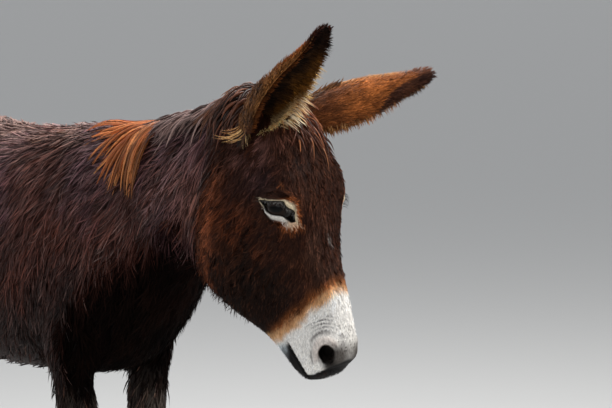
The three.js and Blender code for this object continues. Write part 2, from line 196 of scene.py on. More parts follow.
def normals(V, F):
    n = np.cross(V[F[:, 1]] - V[F[:, 0]], V[F[:, 2]] - V[F[:, 0]])
    return unit(np.stack([np.bincount(F.ravel(), np.repeat(n[:, k], 3), len(V)) for k in range(3)], 1))


def edges_of(F):
    E = np.sort(np.concatenate([F[:, [0, 1]], F[:, [1, 2]], F[:, [2, 0]]]), axis=1)
    return np.unique(E, axis=0)


def average(X, E, degree):
    """The mean of each point's neighbours."""
    n, (a, b) = len(X), E.T
    out = [np.bincount(a, X[b, k], n) + np.bincount(b, X[a, k], n) for k in range(X.shape[1])]
    return np.stack(out, 1) / degree[:, None]


def make(name, V, F, colour=None, uv=None, material=None, slot=None, smooth=True, grain=None, normal=None):
    """A mesh object, which rides on the root body if it has a slot, with its colours in an attribute."""
    mesh = bpy.data.meshes.new(name)
    mesh.vertices.add(len(V))
    mesh.vertices.foreach_set("co", np.ascontiguousarray(V, np.float32).ravel())
    mesh.loops.add(F.size)
    mesh.loops.foreach_set("vertex_index", np.ascontiguousarray(F, np.int32).ravel())
    mesh.polygons.add(len(F))
    mesh.polygons.foreach_set("loop_start", np.arange(0, F.size, F.shape[1], dtype=np.int32))
    mesh.update(calc_edges=True)
    mesh.polygons.foreach_set("use_smooth", np.full(len(F), smooth))
    if colour is not None:
        rgba = np.ones((len(V), 4), np.float32)
        rgba[:, :3] = np.clip(colour, 0, 1)
        tint = mesh.color_attributes.new("Tint", "FLOAT_COLOR", "POINT")
        tint.data.foreach_set("color", rgba.ravel())
    if grain is not None:
        lie_data = mesh.attributes.new("Lie", "FLOAT_VECTOR", "POINT").data
        lie_data.foreach_set("vector", np.asarray(grain, np.float32).ravel())
    if uv is not None:
        layer = mesh.uv_layers.new(name="OFBake")
        layer.data.foreach_set("uv", np.ascontiguousarray(uv, np.float32).ravel())
    if material:
        mesh.materials.append(material)
    mesh.validate()
    if normal is not None:
        mesh.normals_split_custom_set_from_vertices(np.asarray(normal, np.float32))
    o = bpy.data.objects.new(name, mesh)
    bpy.context.scene.collection.objects.link(o)
    if slot:
        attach(o, "root")
    return o


# Which new triangles stand for one whose edges 0-1, 1-2 and 2-0 are split at 3, 4 and 5
SPLITS = {
    0: [(0, 1, 2)],
    1: [(0, 3, 2), (3, 1, 2)],
    2: [(0, 1, 4), (0, 4, 2)],
    4: [(0, 1, 5), (5, 1, 2)],
    3: [(3, 1, 4), (0, 3, 4), (0, 4, 2)],
    6: [(4, 2, 5), (0, 1, 4), (0, 4, 5)],
    5: [(0, 3, 5), (3, 1, 2), (3, 2, 5)],
    7: [(0, 3, 5), (3, 1, 4), (5, 4, 2), (3, 4, 5)],
}


def refine(V, A, F, picked):
    """Splits each edge whose ends are both picked. A is the points' attributes."""
    sides = np.stack([F[:, [0, 1]], F[:, [1, 2]], F[:, [2, 0]]], 1).reshape(-1, 2)
    E, back = np.unique(np.sort(sides, axis=1), axis=0, return_inverse=True)
    split = picked[E].all(1)
    place = np.full(len(E), -1)
    place[split] = len(V) + np.arange(split.sum())
    back = back.reshape(-1, 3)
    local = np.concatenate([F, place[back]], 1)
    code = (split[back] * [1, 2, 4]).sum(1)
    out = [local[code == c][:, corners] for c, tris in SPLITS.items() for corners in tris]
    ends = E[split]
    return np.concatenate([V, V[ends].mean(1)]), np.concatenate([A, A[ends].mean(1)]), np.concatenate(out)


# ---------------------------------------------------------------- the skin
# Whether each leg is a foreleg, and its side
LEGS = {
    f"{pair}leg_{side}": (pair == "fore", SIDES[side])
    for pair in ("fore", "hind")
    for side in ("left", "right")
}
UPPERS, LOWERS = [leg + "_upper" for leg in LEGS], [leg + "_lower" for leg in LEGS]
# Each part's nodes, how deep the coat lies over it, how much its facets are smoothed, and the way its
# hair lies: forwards, outwards and up. The hair of the head follows the face instead.
PARTS = {
    "head": (["head", "eye_left", "eye_right"], 0.0045, 0.30, (0, 0, 0)),
    "muzzle": (["muzzle"], 0.002, 0.16, (0, 0, 0)),
    "lip": (["lower_lip"], 0.001, 0.12, (0, 0, 0)),
    "neck": (["neck"], 0.013, 0.9, (-0.42, 0, -0.9)),
    "mane": (["mane"], 0.03, 0.8, (-0.5, 0.5, -0.7)),
    "chest": (["chest"], 0.012, 1, (-0.26, 0, -0.95)),
    "barrel": (["barrel"], 0.011, 1, (-0.62, 0, -0.75)),
    "rump": (["hindquarters"], 0.010, 1, (-0.5, 0, -0.86)),
    "upper": (UPPERS, 0.007, 0.55, (-0.12, 0, -0.99)),
    "lower": (LOWERS, 0.004, 0.35, (0, 0, -1)),
    "tail": (["tail_dock"], 0.006, 0.3, (-0.1, 0, -1)),
}
NODES, DEPTHS, SOFTNESS, WAYS = zip(*PARTS.values())
INDEX = {name: k for k, name in enumerate(PARTS)}
HEAD_PARTS = ("head", "muzzle", "lip")
VOXEL = 0.0068


class Places:
    """Points near the skin: their places in head units and in body units, and their shares of the parts."""

    def __init__(self, P, W):
        self.P, self.W, self.Q = P, W, in_head(P)
        self.hx, self.hy, self.hz = self.Q.T
        self.bx, self.by, self.bz = in_body(P).T

    def share(self, *parts):
        return self.W[:, [INDEX[part] for part in parts]].sum(1)


def flesh():
    """The solids of flesh as one list of faces, swollen so that their partings close."""
    Vs, Fs, kinds, start = [], [], [], 0
    for kind, nodes in enumerate(NODES):
        for node in nodes:
            V, F = arrays(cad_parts[node].data)
            V, back = np.unique(V.round(6), axis=0, return_inverse=True)
            F = back.reshape(-1)[F]
            F = F[(F[:, 0] != F[:, 1]) & (F[:, 1] != F[:, 2]) & (F[:, 2] != F[:, 0])]
            Vs.append(V + normals(V, F) * 0.001)
            Fs.append(F + start)
            kinds.append(np.full(len(F), kind))
            start += len(V)
    return np.concatenate(Vs), np.concatenate(Fs), np.concatenate(kinds)


def make_skin():
    """The flesh fused into one closed mesh, smoothed, and set in by the depth of the coat."""
    V, F, kinds = flesh()
    solid = BVHTree.FromPolygons(V.tolist(), F.tolist(), all_triangles=True)
    o = make("raw", V, F)
    m = o.modifiers.new("one", "REMESH")
    m.mode = "VOXEL"
    m.voxel_size = VOXEL
    V, F = arrays(o.evaluated_get(bpy.context.evaluated_depsgraph_get()).to_mesh())
    bpy.data.objects.remove(o)
    W = np.eye(len(PARTS))[[kinds[solid.find_nearest(Vector(v))[2]] for v in V]]
    E = edges_of(F)
    degree = np.bincount(E.ravel(), minlength=len(V))
    for _ in range(14):
        W = (W + average(W, E, degree)) / 2
    soft = (W @ SOFTNESS)[:, None]
    # Each pull to the neighbours' mean is followed by a push away from it, which keeps the volume
    for _ in range(70):
        V = V + 0.6 * soft * (average(V, E, degree) - V)
        V = V - 0.61 * soft * (average(V, E, degree) - V)
    V = V + 0.5 * soft * (average(V, E, degree) - V)
    for _ in range(16):
        W = (W + average(W, E, degree)) / 2
    N = normals(V, F)
    for _ in range(3):
        N = unit(N + average(N, E, degree))
    V = V - N * ((W @ DEPTHS)[:, None] + 0.001)
    for _ in range(3):
        V = V + 0.4 * soft * (average(V, E, degree) - V)
    return V, W, F


# ---------------------------------------------------------------- the head's details
def local_axes(P, at, *axes):
    """Millimetres along each axis from a place."""
    d = (P - at) * MM
    return np.stack([d @ axis for axis in axes], 1)


EYES = {}
NOSTRILS = {}
for hand in (RIGHT, LEFT):
    look = unit(FACE @ np.array([0.15, 0.95 * hand, 0.2]))
    slant = math.radians(46)
    along = FACE @ np.array([math.cos(slant), 0, math.sin(slant)])
    along = unit(along - look * (along @ look))  # towards the inner corner
    EYES[hand] = (from_head(EYE_AT * [1, hand, 1]), along, np.cross(look, along) * -hand, look)
    out = unit(FACE @ np.array([0.42, 0.8 * hand, 0.42]))
    tall = FACE @ np.array([0.75, 0, -0.66])
    tall = unit(tall - out * (tall @ out))  # towards the mouth
    NOSTRILS[hand] = (from_head([90.7, 7.3 * hand, 5.2]), tall, np.cross(out, tall) * hand, out)


def in_eye(P, hand):
    """Millimetres along the lids to the inner corner, up across them, and out, from the eyeball's middle."""
    return local_axes(P, *EYES[hand])


def in_nostril(P, hand):
    """Millimetres down the nostril to the mouth, forwards across it, and out."""
    return local_axes(P, *NOSTRILS[hand])


# Along the lids from the outer corner to the inner one, and the lower and upper edge there
LID_LINE = np.array([-38, -31, -24, -15, -7, 0, 6, 12, 17.5, 23, 28, 32, 36.0])
LOWER_LID = np.array([-8.8, -10.4, -12.8, -14.6, -13, -11.6, -9, -6.4, -6.2, -9.8, -11.6, -11.2, -8])
UPPER_LID = np.array([-8.8, -4.6, 0.5, 6.8, 12, 15.6, 17.4, 13.6, 11.2, 10, 6, -2, -8])
MOUTH_LINE = np.array([80, 85.3, 87.4, 90.2, 92.7, 95.2, 99.0])
MOUTH_HEIGHT = np.array([-8.6, -6.7, -5.9, -4.9, -4.2, -4.0, -4.2])
LIP_HEIGHT = np.array([-9, -4, -2.9, -0.7, 1.8, 4.0, 5.6, 7.6, 9.0, 9.9, 10.6, 12])
LIP_LINE = np.array([95.2, 95.6, 96.1, 96.2, 95.7, 95.4, 95.0, 94.6, 94.0, 93.4, 92.6, 90.8])


def opening(q):
    """How far inside the lids' opening, in millimetres: negative on the lids."""
    low, high = curve(q[:, 0], LID_LINE, LOWER_LID), curve(q[:, 0], LID_LINE, UPPER_LID)
    past = np.maximum(np.maximum(LID_LINE[0] - q[:, 0], q[:, 0] - LID_LINE[-1]), 0)
    steep = 1 + 0.55 * np.abs(q[:, 0]) / 35
    return np.minimum((high - q[:, 1]) / steep, q[:, 1] - low) - past


def comma(q):
    """How far inside the nostril, in millimetres: a leaning egg."""
    c, t = math.cos(math.radians(17)), math.sin(math.radians(17))
    x, y = q[:, 0] + 0.7, q[:, 1] + 2.6
    width = 12.6 - 0.12 * np.clip(x, -15, 15)
    return 12.5 * (1 - np.hypot((x * c - y * t) / 16.6, (x * t + y * c) / width))


def rim_share(q):
    """1 behind and above the nostril, where its rim is thick, and 0 in front of it."""
    return ramp(-7, 5, 0.8 * q[:, 1] - 0.45 * q[:, 0])


def wrinkles(q, P):
    """Waves from -1 to 1 in rings above and behind the nostril, and how strong they are."""
    r = np.hypot(q[:, 0] + 8, q[:, 1] + 2)
    angle = np.degrees(np.arctan2(q[:, 1] + 2, -q[:, 0] - 8))
    strength = bell(angle, 36, 24) * ramp(27, 33, r) * ramp(72, 58, r) * (q[:, 2] > -25)
    return np.cos(r * 2 * np.pi / 5.8 + 1.6 * noise(P, 0.018, 5)), strength


def mouth(Q):
    """Millimetres above the line of the mouth, and how far the mouth reaches there."""
    above = (Q[:, 2] - curve(Q[:, 0], MOUTH_LINE, MOUTH_HEIGHT)) * HEAD * MM
    return above, ramp(83.4, 86, Q[:, 0])


def past_lip(Q):
    """Head units past the line where the bare upper lip starts."""
    return Q[:, 0] - curve(Q[:, 2], LIP_HEIGHT, LIP_LINE)


def sculpt_head(V, F):
    """Nostrils and the folds round them, lips, the line of the mouth, lids and the hollow between them."""
    N = normals(V, F)
    Q = in_head(V)
    for hand in (RIGHT, LEFT):
        out = NOSTRILS[hand][3]
        q = in_nostril(V, hand)
        edge = -comma(q)
        rear = rim_share(q)
        beside = ramp(-25, -5, q[:, 2]) * (N @ out > -0.2)
        rim = (2.4 * bell(edge, 6, 5.5) - 1.5 * bell(edge, 15.5, 2.2) * ramp(-9, 4, q[:, 1])) * rear
        rim = rim + 0.8 * bell(edge, 3, 4) * (1 - rear)
        wave, strength = wrinkles(q, V)
        V = V + N * ((rim * beside + 0.75 * wave * strength) / MM)[:, None]
        sunk = 26 * ramp(-0.4, 6.5, -edge) + 2.0 * ramp(-1.2, 0.6, -edge)
        V = V - (out - FACE[:, 0] * 0.3) * (sunk * beside / MM)[:, None]
    above, reach = mouth(Q)
    swell = 4.5 * bell(Q[:, 0], 93.5, 4.5) * ramp(1, 8, Q[:, 2])
    V = V + (FACE[:, 2] + 0.4 * FACE[:, 0]) * (swell / MM)[:, None]
    groove = 4.0 * bell(above, 0, 1.5) - 1.2 * bell(above, 5.0, 3.0) - 1.5 * bell(above, -5.5, 3.4)
    V = V - N * ((groove * reach + 0.9 * ramp(0, 0.7, past_lip(Q)) * (Q[:, 0] > 88)) / MM)[:, None]
    for hand in (RIGHT, LEFT):
        look = EYES[hand][3]
        q = in_eye(V, hand)
        r = np.hypot(q[:, 0], q[:, 1])
        facing = (N @ look > 0.1) & (q[:, 2] > -8) & (r < 60)
        inside = opening(q)
        # The lids wrap the eyeball
        ball = np.sqrt(np.maximum(30.0**2 - r * r, 0))
        face_level = q[:, 2]
        lid_level = np.maximum(face_level * 0.35 + ball * 0.65, ball)
        level = np.where(ball > 0, between(face_level, lid_level, ramp(42, 24, r)), face_level)
        upper_fold = 2.2 * bell(inside, -4.0, 3.2) - 1.8 * bell(inside, -9.5, 1.6)
        upper_fold = upper_fold + 2.4 * bell(inside, -15, 5)
        lower_fold = 1.6 * bell(inside, -3.2, 2.6) - 1.0 * bell(inside, -7.8, 1.5)
        lower_fold = lower_fold + 0.9 * bell(inside, -12, 3)
        level = level + np.where(q[:, 1] > 0, upper_fold, lower_fold) * ramp(46, 30, r)
        pit = np.where(r < 25, np.sqrt(np.maximum(24.0**2 - r * r, 16)), 4)
        pit = np.maximum(pit, face_level - 10)
        level = between(level, np.minimum(pit, level), ramp(-0.35, 0.9, inside))
        V = V + look * (np.where(facing, level - q[:, 2], 0) / MM)[:, None]
    return V


def add_detail(V, W, F):
    """Smaller faces on the head, and smaller still at the eyes, nostrils and mouth."""
    V, W, F = refine(V, W, F, Places(V, W).share(*HEAD_PARTS) > 0.25)
    s = Places(V, W)
    eye = np.min([np.linalg.norm(in_eye(V, h), axis=1) for h in EYES], axis=0)
    V, W, F = refine(V, W, F, (s.hx > 76) & (s.share("neck") < 0.2) | (eye < 52))
    eyes, holes = [in_eye(V, h) for h in EYES], [in_nostril(V, h) for h in NOSTRILS]
    rims = np.min([np.where(q[:, 2] > 0, np.abs(opening(q)), 99) for q in eyes], axis=0)
    holes = np.min([np.where(q[:, 2] > -25, np.abs(comma(q) - 1.5), 99) for q in holes], axis=0)
    above, reach = mouth(in_head(V))
    return refine(V, W, F, (rims < 6) | (holes < 7) | (np.abs(above) < 5) & (reach > 0.01))


# ---------------------------------------------------------------- markings, and painted light and shade
def breast(s, N):
    """1 on the breast between the forelegs, where shade is painted near black."""
    front = ramp(0.1, 0.5, N[:, 0] - 0.35 * N[:, 2])
    return front * ramp(96, 86, s.bz) * ramp(15, 8, s.by) * s.share("chest", "neck")


def paint_trunk(s, N, large, small, fine):
    """Chocolate, with painted sheen over neck and shoulder, painted shade near black on the breast and below,
    and painted highlights on the back and down the neck.
    """
    P, x, z = s.P, s.bx, s.bz
    c = blend("40241e", "542a1e", 0.6 * ramp(-0.2, 0.7, large + 0.4 * small))
    # Painted sheen: a cool lavender grey laid over the neck and shoulder
    painted_sheen = ramp(0.0, 0.8, noise(P, 0.16, 9) + 0.5 * small + 0.35) * ramp(76, 90, z) * ramp(-45, -5, x)
    c = dye(c, "55404a", 0.5 * painted_sheen)
    # Painted shade: near black low on the chest, barrel, neck and upper legs, darkest on the breast
    under = ramp(88, 66, z - 0.10 * (x - 10) + 4 * large) * ramp(-75, -20, x)
    c = dye(c, "170b08", 0.85 * under * s.share("chest", "barrel", "neck", "upper"))
    c = dye(c, "060302", 0.95 * breast(s, N))
    # Painted highlight: the top of the back and rump lighter, with pale flecks, as if lit from above
    back = ramp(0.6, 0.95, N[:, 2]) * s.share("barrel", "rump", "chest")
    c = dye(c, "8c7268", 0.6 * back * ramp(-0.8, 0.7, 0.3 * small + fine))
    c = dye(c, "9c7a5c", 0.3 * back * ramp(0.55, 0.8, noise(P, 0.004, 12)))
    c = dye(c, "2a1a17", 0.6 * bell(x, 9, 9) * bell(z, 91.5, 5) * ramp(0.2, -0.5, N[:, 1]))
    # A painted highlight in a streak down the side of the neck, and a lighter, warmer patch before the throat
    mottled = s.share("neck") * ramp(-0.6, 0.6, small + fine)
    neck_highlight = bell((x - 31) * 0.78 - (z - 94.6) * 0.62, 0, 2.8) * ramp(86, 92, z) * ramp(24, 30, x)
    c = dye(c, "937270", 0.6 * neck_highlight * mottled)
    c = dye(c, "8a5c48", 0.5 * bell(np.hypot(x - 40, z - 90.5), 0, 4.5) * mottled)
    legs = np.clip(s.share("lower") + 0.75 * s.share("upper"), 0, 1)
    c = mix(c, blend("221917", "665f55", 0.6 * ramp(-0.5, 0.8, 0.3 * small + fine)), legs)
    return dye(c, "2b1b1c", s.share("mane"))


def paint_head(s, large, small, fine):
    """Red brown on the cheek and its rear edge, darker down the face, with painted shade low on the jaw, and
    a pale scar.
    """
    x, y, z = s.hx, s.hy, s.hz
    h = blend("2e160c", "412518", 0.6 * ramp(-0.2, 0.8, small + 0.5 * fine))
    cheek = ramp(-6, -20, z + 4 * large) * ramp(62, 40, x) * ramp(26, 40, x)
    cheek = cheek + 0.45 * bell(x, 47, 9) * ramp(0, -9, z)
    h = dye(h, "6a3216", 0.8 * np.clip(cheek, 0, 1) * ramp(-0.5, 0.5, small + 0.6 * fine + 0.3))
    # Painted shade: near black low on the jaw
    h = dye(h, "150803", 0.88 * ramp(-4, -20, z - 0.45 * (x - 40) + 3 * small) * ramp(26, 44, x))
    h = dye(h, "5a3424", 0.6 * ramp(34, 14, x) * ramp(0, 10, z) * ramp(-0.3, 0.6, small + fine))
    h = dye(h, "2b1c1d", 0.8 * bell(x, 31, 5) * bell(z, 2, 6))
    h = dye(h, "301f20", 0.2 * bell(x, 27, 8) * bell(z, -8, 6))
    rear = bell(z + 21 + 0.48 * (x - 30), 0.5, 5.0) * ramp(18, 28, x) * ramp(66, 54, x)
    h = dye(h, "86492d", 0.52 * rear * ramp(-0.7, 0.5, small + 0.8 * fine))
    h = dye(h, "654540", 0.65 * bell(x, 21, 8) * bell(z, 1, 8) * ramp(-0.4, 0.5, small + fine))
    h = dye(h, "3f2a21", 0.5 * ramp(6, 10, z) * ramp(44, 52, x) * ramp(-0.4, 0.5, fine + small))
    scar = bell(np.hypot(x - 54.5, 1.7 * (y + 0.6)), 0, 2.0) * ramp(8, 11, z)
    return dye(h, "8d8580", 0.7 * ramp(0.2, 0.9, scar * (0.8 + 0.9 * noise(s.P, 0.004, 14))))


def paint_muzzle(h, s, small, fine):
    """White behind a ginger edge, stippled dark down the front, with black lips, and painted shade in and
    round the nostrils, in their folds, on the lips and along the mouth, and a painted highlight on the lower
    lip.
    """
    P, x, y, z = s.P, s.hx, s.hy, s.hz
    edge = x - 74.8 - 0.02 * y**2 + 0.36 * (z - 3) - 0.6 * bell(z, 0.5, 4) + 1.6 * small + 1.0 * fine
    h = dye(h, "8e5129", 0.9 * ramp(-6.5, -1.5, edge) * ramp(18, 8, -z))
    h = dye(h, "dcac7c", 0.9 * ramp(-3.4, 0.4, edge))
    h = dye(h, "f4f0ea", ramp(-0.4, 2.4 + 1.4 * ramp(4, -6, z), edge))
    grey = ramp(0.0, 0.8, noise(P, 0.006, 21) + 0.5 * noise(P, 0.02, 22) - 0.1) * ramp(1, 5, edge)
    h = dye(h, "a8a5a4", (0.12 + 0.4 * ramp(9, 12, z)) * grey)
    stipple = ramp(0.3, 0.46, noise(P, 0.0028, 23)) * ramp(8.6, 10.4, z + 1.2 * small)
    h = dye(h, "4d4746", 0.7 * stipple * ramp(76, 86, x) * ramp(94, 91, x))
    for hand in (RIGHT, LEFT):
        q = in_nostril(P, hand)
        edge = -comma(q)
        near = q[:, 2] > -56
        rear = rim_share(q) * near
        wave, strength = wrinkles(q, P)
        # Painted shade: darker lines in the grooves of the wrinkles
        h = dye(h, "5f5c5e", 0.85 * ramp(0.0, -0.8, wave + 0.4 * fine) * strength)
        # Painted shade: a dark line in the crease behind the nostril's rim
        crease_shade = bell(edge, 15.5, 2.2) * rear * ramp(-3, 12, q[:, 1])
        h = dye(h, "77706d", 0.75 * crease_shade * ramp(-0.9, 0.2, fine + small))
        h = dye(h, "cfc1b8", 0.7 * ramp(14, 9, edge) * ramp(0, 3, edge) * rear)
        h = dye(h, "6b5347", 0.8 * ramp(3.4, 0.6, edge) * rear)
        # Painted shade in front of and below the nostril, darkest in a streak down to the lip
        wide = np.hypot((q[:, 0] + 4) / 32, (q[:, 1] + 21) / 29) + 0.12 * small
        h = dye(h, "3f3833", 0.95 * ramp(1.25, 0.35, wide) * near)
        low = np.hypot((q[:, 0] - 14) / 16, (q[:, 1] + 17) / 13)
        h = dye(h, "17110f", 0.9 * ramp(1.3, 0.3, low) * near)
        # Painted shade: near black inside the nostril
        h = dye(h, "060303", ramp(1.5, -0.6, edge) * near)
    above, reach = mouth(s.Q)
    # The bare lips: black skin, darkened further as painted shade, with a painted bluish highlight on the
    # lower lip towards its corner
    bare = np.maximum(ramp(0.6, -0.8, above) * reach, ramp(-0.15, 0.35, past_lip(s.Q)))
    lip_skin_and_highlight = blend("0c0a0b", "c8d0d4", ramp(87.5, 82.5, x + 0.2 * (above + 6)) * ramp(-1, -6, above))
    h = mix(h, dye(lip_skin_and_highlight, "1f1b1b", ramp(0.0, 0.7, fine + small) * 0.6), bare)
    # Painted shade: near black along the mouth's line
    return dye(h, "060505", bell(above, 0, 1.6) * reach)


def paint_eyes(h, s, small, fine):
    """A white lower rim, a cream upper one and a ginger border round each eye."""
    for hand in (RIGHT, LEFT):
        q = in_eye(s.P, hand)
        x, y, z = q.T
        out = -opening(q)
        here = (z > -4) & (np.hypot(x, y) < 62)
        lower = y < curve(x, LID_LINE, (LOWER_LID + UPPER_LID) / 2)
        reach_low = 2.2 + 9.0 * ramp(-34, 16, x)
        reach_up = 2.4 + 5.0 * bell(x, 15, 9) + 2.0 * ramp(10, 26, x)
        width = np.where(lower, reach_low, reach_up) * (1 + 0.15 * fine)
        brow = bell(y - 36 + 0.25 * x, 0, 3) * bell(x, -8, 12) * (z > -8)
        h = dye(h, "9c5a34", 0.75 * brow * ramp(-0.5, 0.4, small + fine))
        border = here * 0.85 * ramp(2.6, 1.2, out / width)
        h = dye(h, "8a4a24", border * np.where(lower, ramp(0, 26, x), ramp(-12, 10, x)))
        white = np.where(lower, ramp(-30, -18, x), 0.0)
        rim = mix(srgb("d2c0a2"), blend("e2dcd4", "c9a88c", ramp(18, 32, x)), white)
        h = mix(h, rim, here * ramp(1.35, 0.65, out / width))
        h = dye(h, "0c0908", here * ramp(1.2, 0.2, out))
    return h


def paint(s, N):
    """The coat's colour at points near the skin."""
    large, small, fine = (noise(s.P, size, seed) for size, seed in ((0.11, 1), (0.03, 2), (0.009, 3)))
    h = paint_muzzle(paint_head(s, large, small, fine), s, small, fine)
    h = paint_eyes(h, s, small, fine)
    return mix(paint_trunk(s, N, large, small, fine), h, np.clip(s.share(*HEAD_PARTS), 0, 1))


def lie(s, N):
    """Which way the hair lies: a unit vector along the skin."""
    P = s.P
    side = np.sign(P[:, 1] - SHIFT[1] - 0.0005)[:, None]
    D = s.W @ np.array(WAYS, float)
    D[:, 1:2] *= side
    trunk = s.share("chest", "barrel", "rump", "neck")[:, None]
    top = ramp(0.5, 0.95, N[:, 2])[:, None] * trunk
    D = D * (1 - top) + top * (np.array([-0.85, 0, -0.1]) + side * [0, 0.5, 0])
    belly = ramp(-0.4, -0.9, N[:, 2])[:, None] * trunk
    D = D * (1 - belly) + belly * np.array([-0.8, 0, -0.35])
    # On the head: down the face, back over the cheek, away from the eye
    front = ramp(0.15, 0.75, N @ FACE[:, 2])
    down = 0.55 + 0.45 * front
    outwards = np.sign(s.hy) * 0.25 * front * ramp(40, 10, s.hx)
    up = -0.85 * (1 - front) * ramp(92, 60, s.hx) - 0.25 * ramp(80, 90, s.hx)
    H = down[:, None] * FACE[:, 0] + outwards[:, None] * FACE[:, 1] + up[:, None] * FACE[:, 2]
    for hand in (RIGHT, LEFT):
        q = in_eye(P, hand)
        r = np.hypot(q[:, 0], q[:, 1]) + 1e-6
        pull = (ramp(56, 30, r) * (q[:, 2] > -10))[:, None]
        away = q[:, :1] * EYES[hand][1] + q[:, 1:2] * EYES[hand][2]
        H = H * (1 - 0.75 * pull) + away / r[:, None] * (0.8 * pull)
    D = between(D, H, s.share(*HEAD_PARTS)[:, None])
    return flat_on(D + 0.30 * streaks(P, 0.07, 31) + 0.18 * streaks(P, 0.022, 41), N)


# ---------------------------------------------------------------- height over the skin
CELL, REACH = 0.009, 3  # the grid's cell, and how many cells it reaches out from the surface


class Skin:
    """Height over the skin and the way out of it, on a grid near the surface."""

    def __init__(self, V, F):
        tree = BVHTree.FromPolygons(V.tolist(), F.tolist(), all_triangles=True)
        margin = CELL * (REACH + 2)
        self.low = V.min(0) - margin
        self.shape = np.ceil((V.max(0) + margin - self.low) / CELL).astype(int) + 1
        mark = np.zeros(self.shape, bool)
        mark[tuple(((V - self.low) / CELL).astype(int).T)] = True
        for axis in range(3):
            grown = mark.copy()
            for k in range(1, REACH + 1):
                grown |= np.roll(mark, k, axis) | np.roll(mark, -k, axis)
            mark = grown
        cells = np.argwhere(mark)
        height, way = np.empty(len(cells)), np.empty((len(cells), 3))
        for n, at in enumerate((cells * CELL + self.low).tolist()):
            spot, normal, _, far = tree.find_nearest(Vector(at))
            outside = sum((a - b) * c for a, b, c in zip(at, spot, normal))
            height[n] = far if outside > 0 else -far
            way[n] = normal
        self.height = np.full(self.shape, 0.05, np.float32)
        self.height[tuple(cells.T)] = height
        self.way = np.zeros((*self.shape, 3), np.float32)
        self.way[tuple(cells.T)] = way

    def at(self, P):
        q = np.clip((P - self.low) / CELL, 0, self.shape - 2.001)
        i = q.astype(int)
        f = q - i
        height, way = np.zeros(len(P)), np.zeros((len(P), 3))
        for o in CORNERS:
            share = np.prod(np.where(o, f, 1 - f), axis=1)
            corner = tuple((i + o).T)
            height += share * self.height[corner]
            way += share[:, None] * self.way[corner]
        return height, way


# ---------------------------------------------------------------- materials
def new_material(name, scale, relief, roughness, shine, vary, along_hair=False):
    """The object's tints with fine variation and relief."""
    m = bpy.data.materials.new(name)
    m.use_nodes = True
    t = m.node_tree
    bsdf = t.nodes["Principled BSDF"]
    bsdf.inputs["Roughness"].default_value = roughness
    bsdf.inputs["Specular IOR Level"].default_value = shine
    tint = t.nodes.new("ShaderNodeAttribute")
    tint.attribute_name = "Tint"
    if along_hair:
        where = t.nodes.new("ShaderNodeAttribute")
        where.attribute_name = "Lie"
        where = where.outputs["Vector"]
    else:
        where = t.nodes.new("ShaderNodeTexCoord").outputs["Object"]
    grain = t.nodes.new("ShaderNodeTexNoise")
    grain.inputs["Scale"].default_value = scale
    grain.inputs["Detail"].default_value = 3
    t.links.new(where, grain.inputs["Vector"])
    level = t.nodes.new("ShaderNodeMapRange")
    for key, number in (("From Min", 0.3), ("From Max", 0.7), ("To Min", 1 - vary), ("To Max", 1 + vary)):
        level.inputs[key].default_value = number
    t.links.new(grain.outputs["Fac"], level.inputs["Value"])
    shade = t.nodes.new("ShaderNodeVectorMath")
    shade.operation = "SCALE"
    t.links.new(tint.outputs["Color"], shade.inputs[0])
    t.links.new(level.outputs["Result"], shade.inputs["Scale"])
    t.links.new(shade.outputs["Vector"], bsdf.inputs["Base Color"])
    bump = t.nodes.new("ShaderNodeBump")
    bump.inputs["Strength"].default_value = relief
    bump.inputs["Distance"].default_value = 0.001
    t.links.new(grain.outputs["Fac"], bump.inputs["Height"])
    t.links.new(bump.outputs["Normal"], bsdf.inputs["Normal"])
    return m


SKIN = new_material("skin", 1.0, 0.5, 0.7, 0.1, 0.3, along_hair=True)
FUR = new_material("fur", 420, 0.12, 0.48, 0.17, 0.3)
SHORT = new_material("short fur", 520, 0.12, 0.6, 0.08, 0.3)
# Dull fur with little shine, for the coat in the breast's painted shade
DARK = new_material("dark fur", 420, 0.12, 0.8, 0.02, 0.3)
HAIR = new_material("hair", 300, 0.1, 0.42, 0.35, 0.18)
HORN = new_material("horn", 260, 0.25, 0.5, 0.4, 0.18)
WET = new_material("eyeball", 900, 0.0, 0.06, 0.12, 0.05)

# ---------------------------------------------------------------- tufts
# Where a tuft of 3 or 4 steps is bent along its length, and how wide a long lock is along its own
STEPS = {3: [0, 0.4, 0.75, 1], 4: [0, 0.28, 0.56, 0.82, 1]}
LONG = [0.6, 1, 1, 0.95, 0.85, 0.65, 0.4, 0]


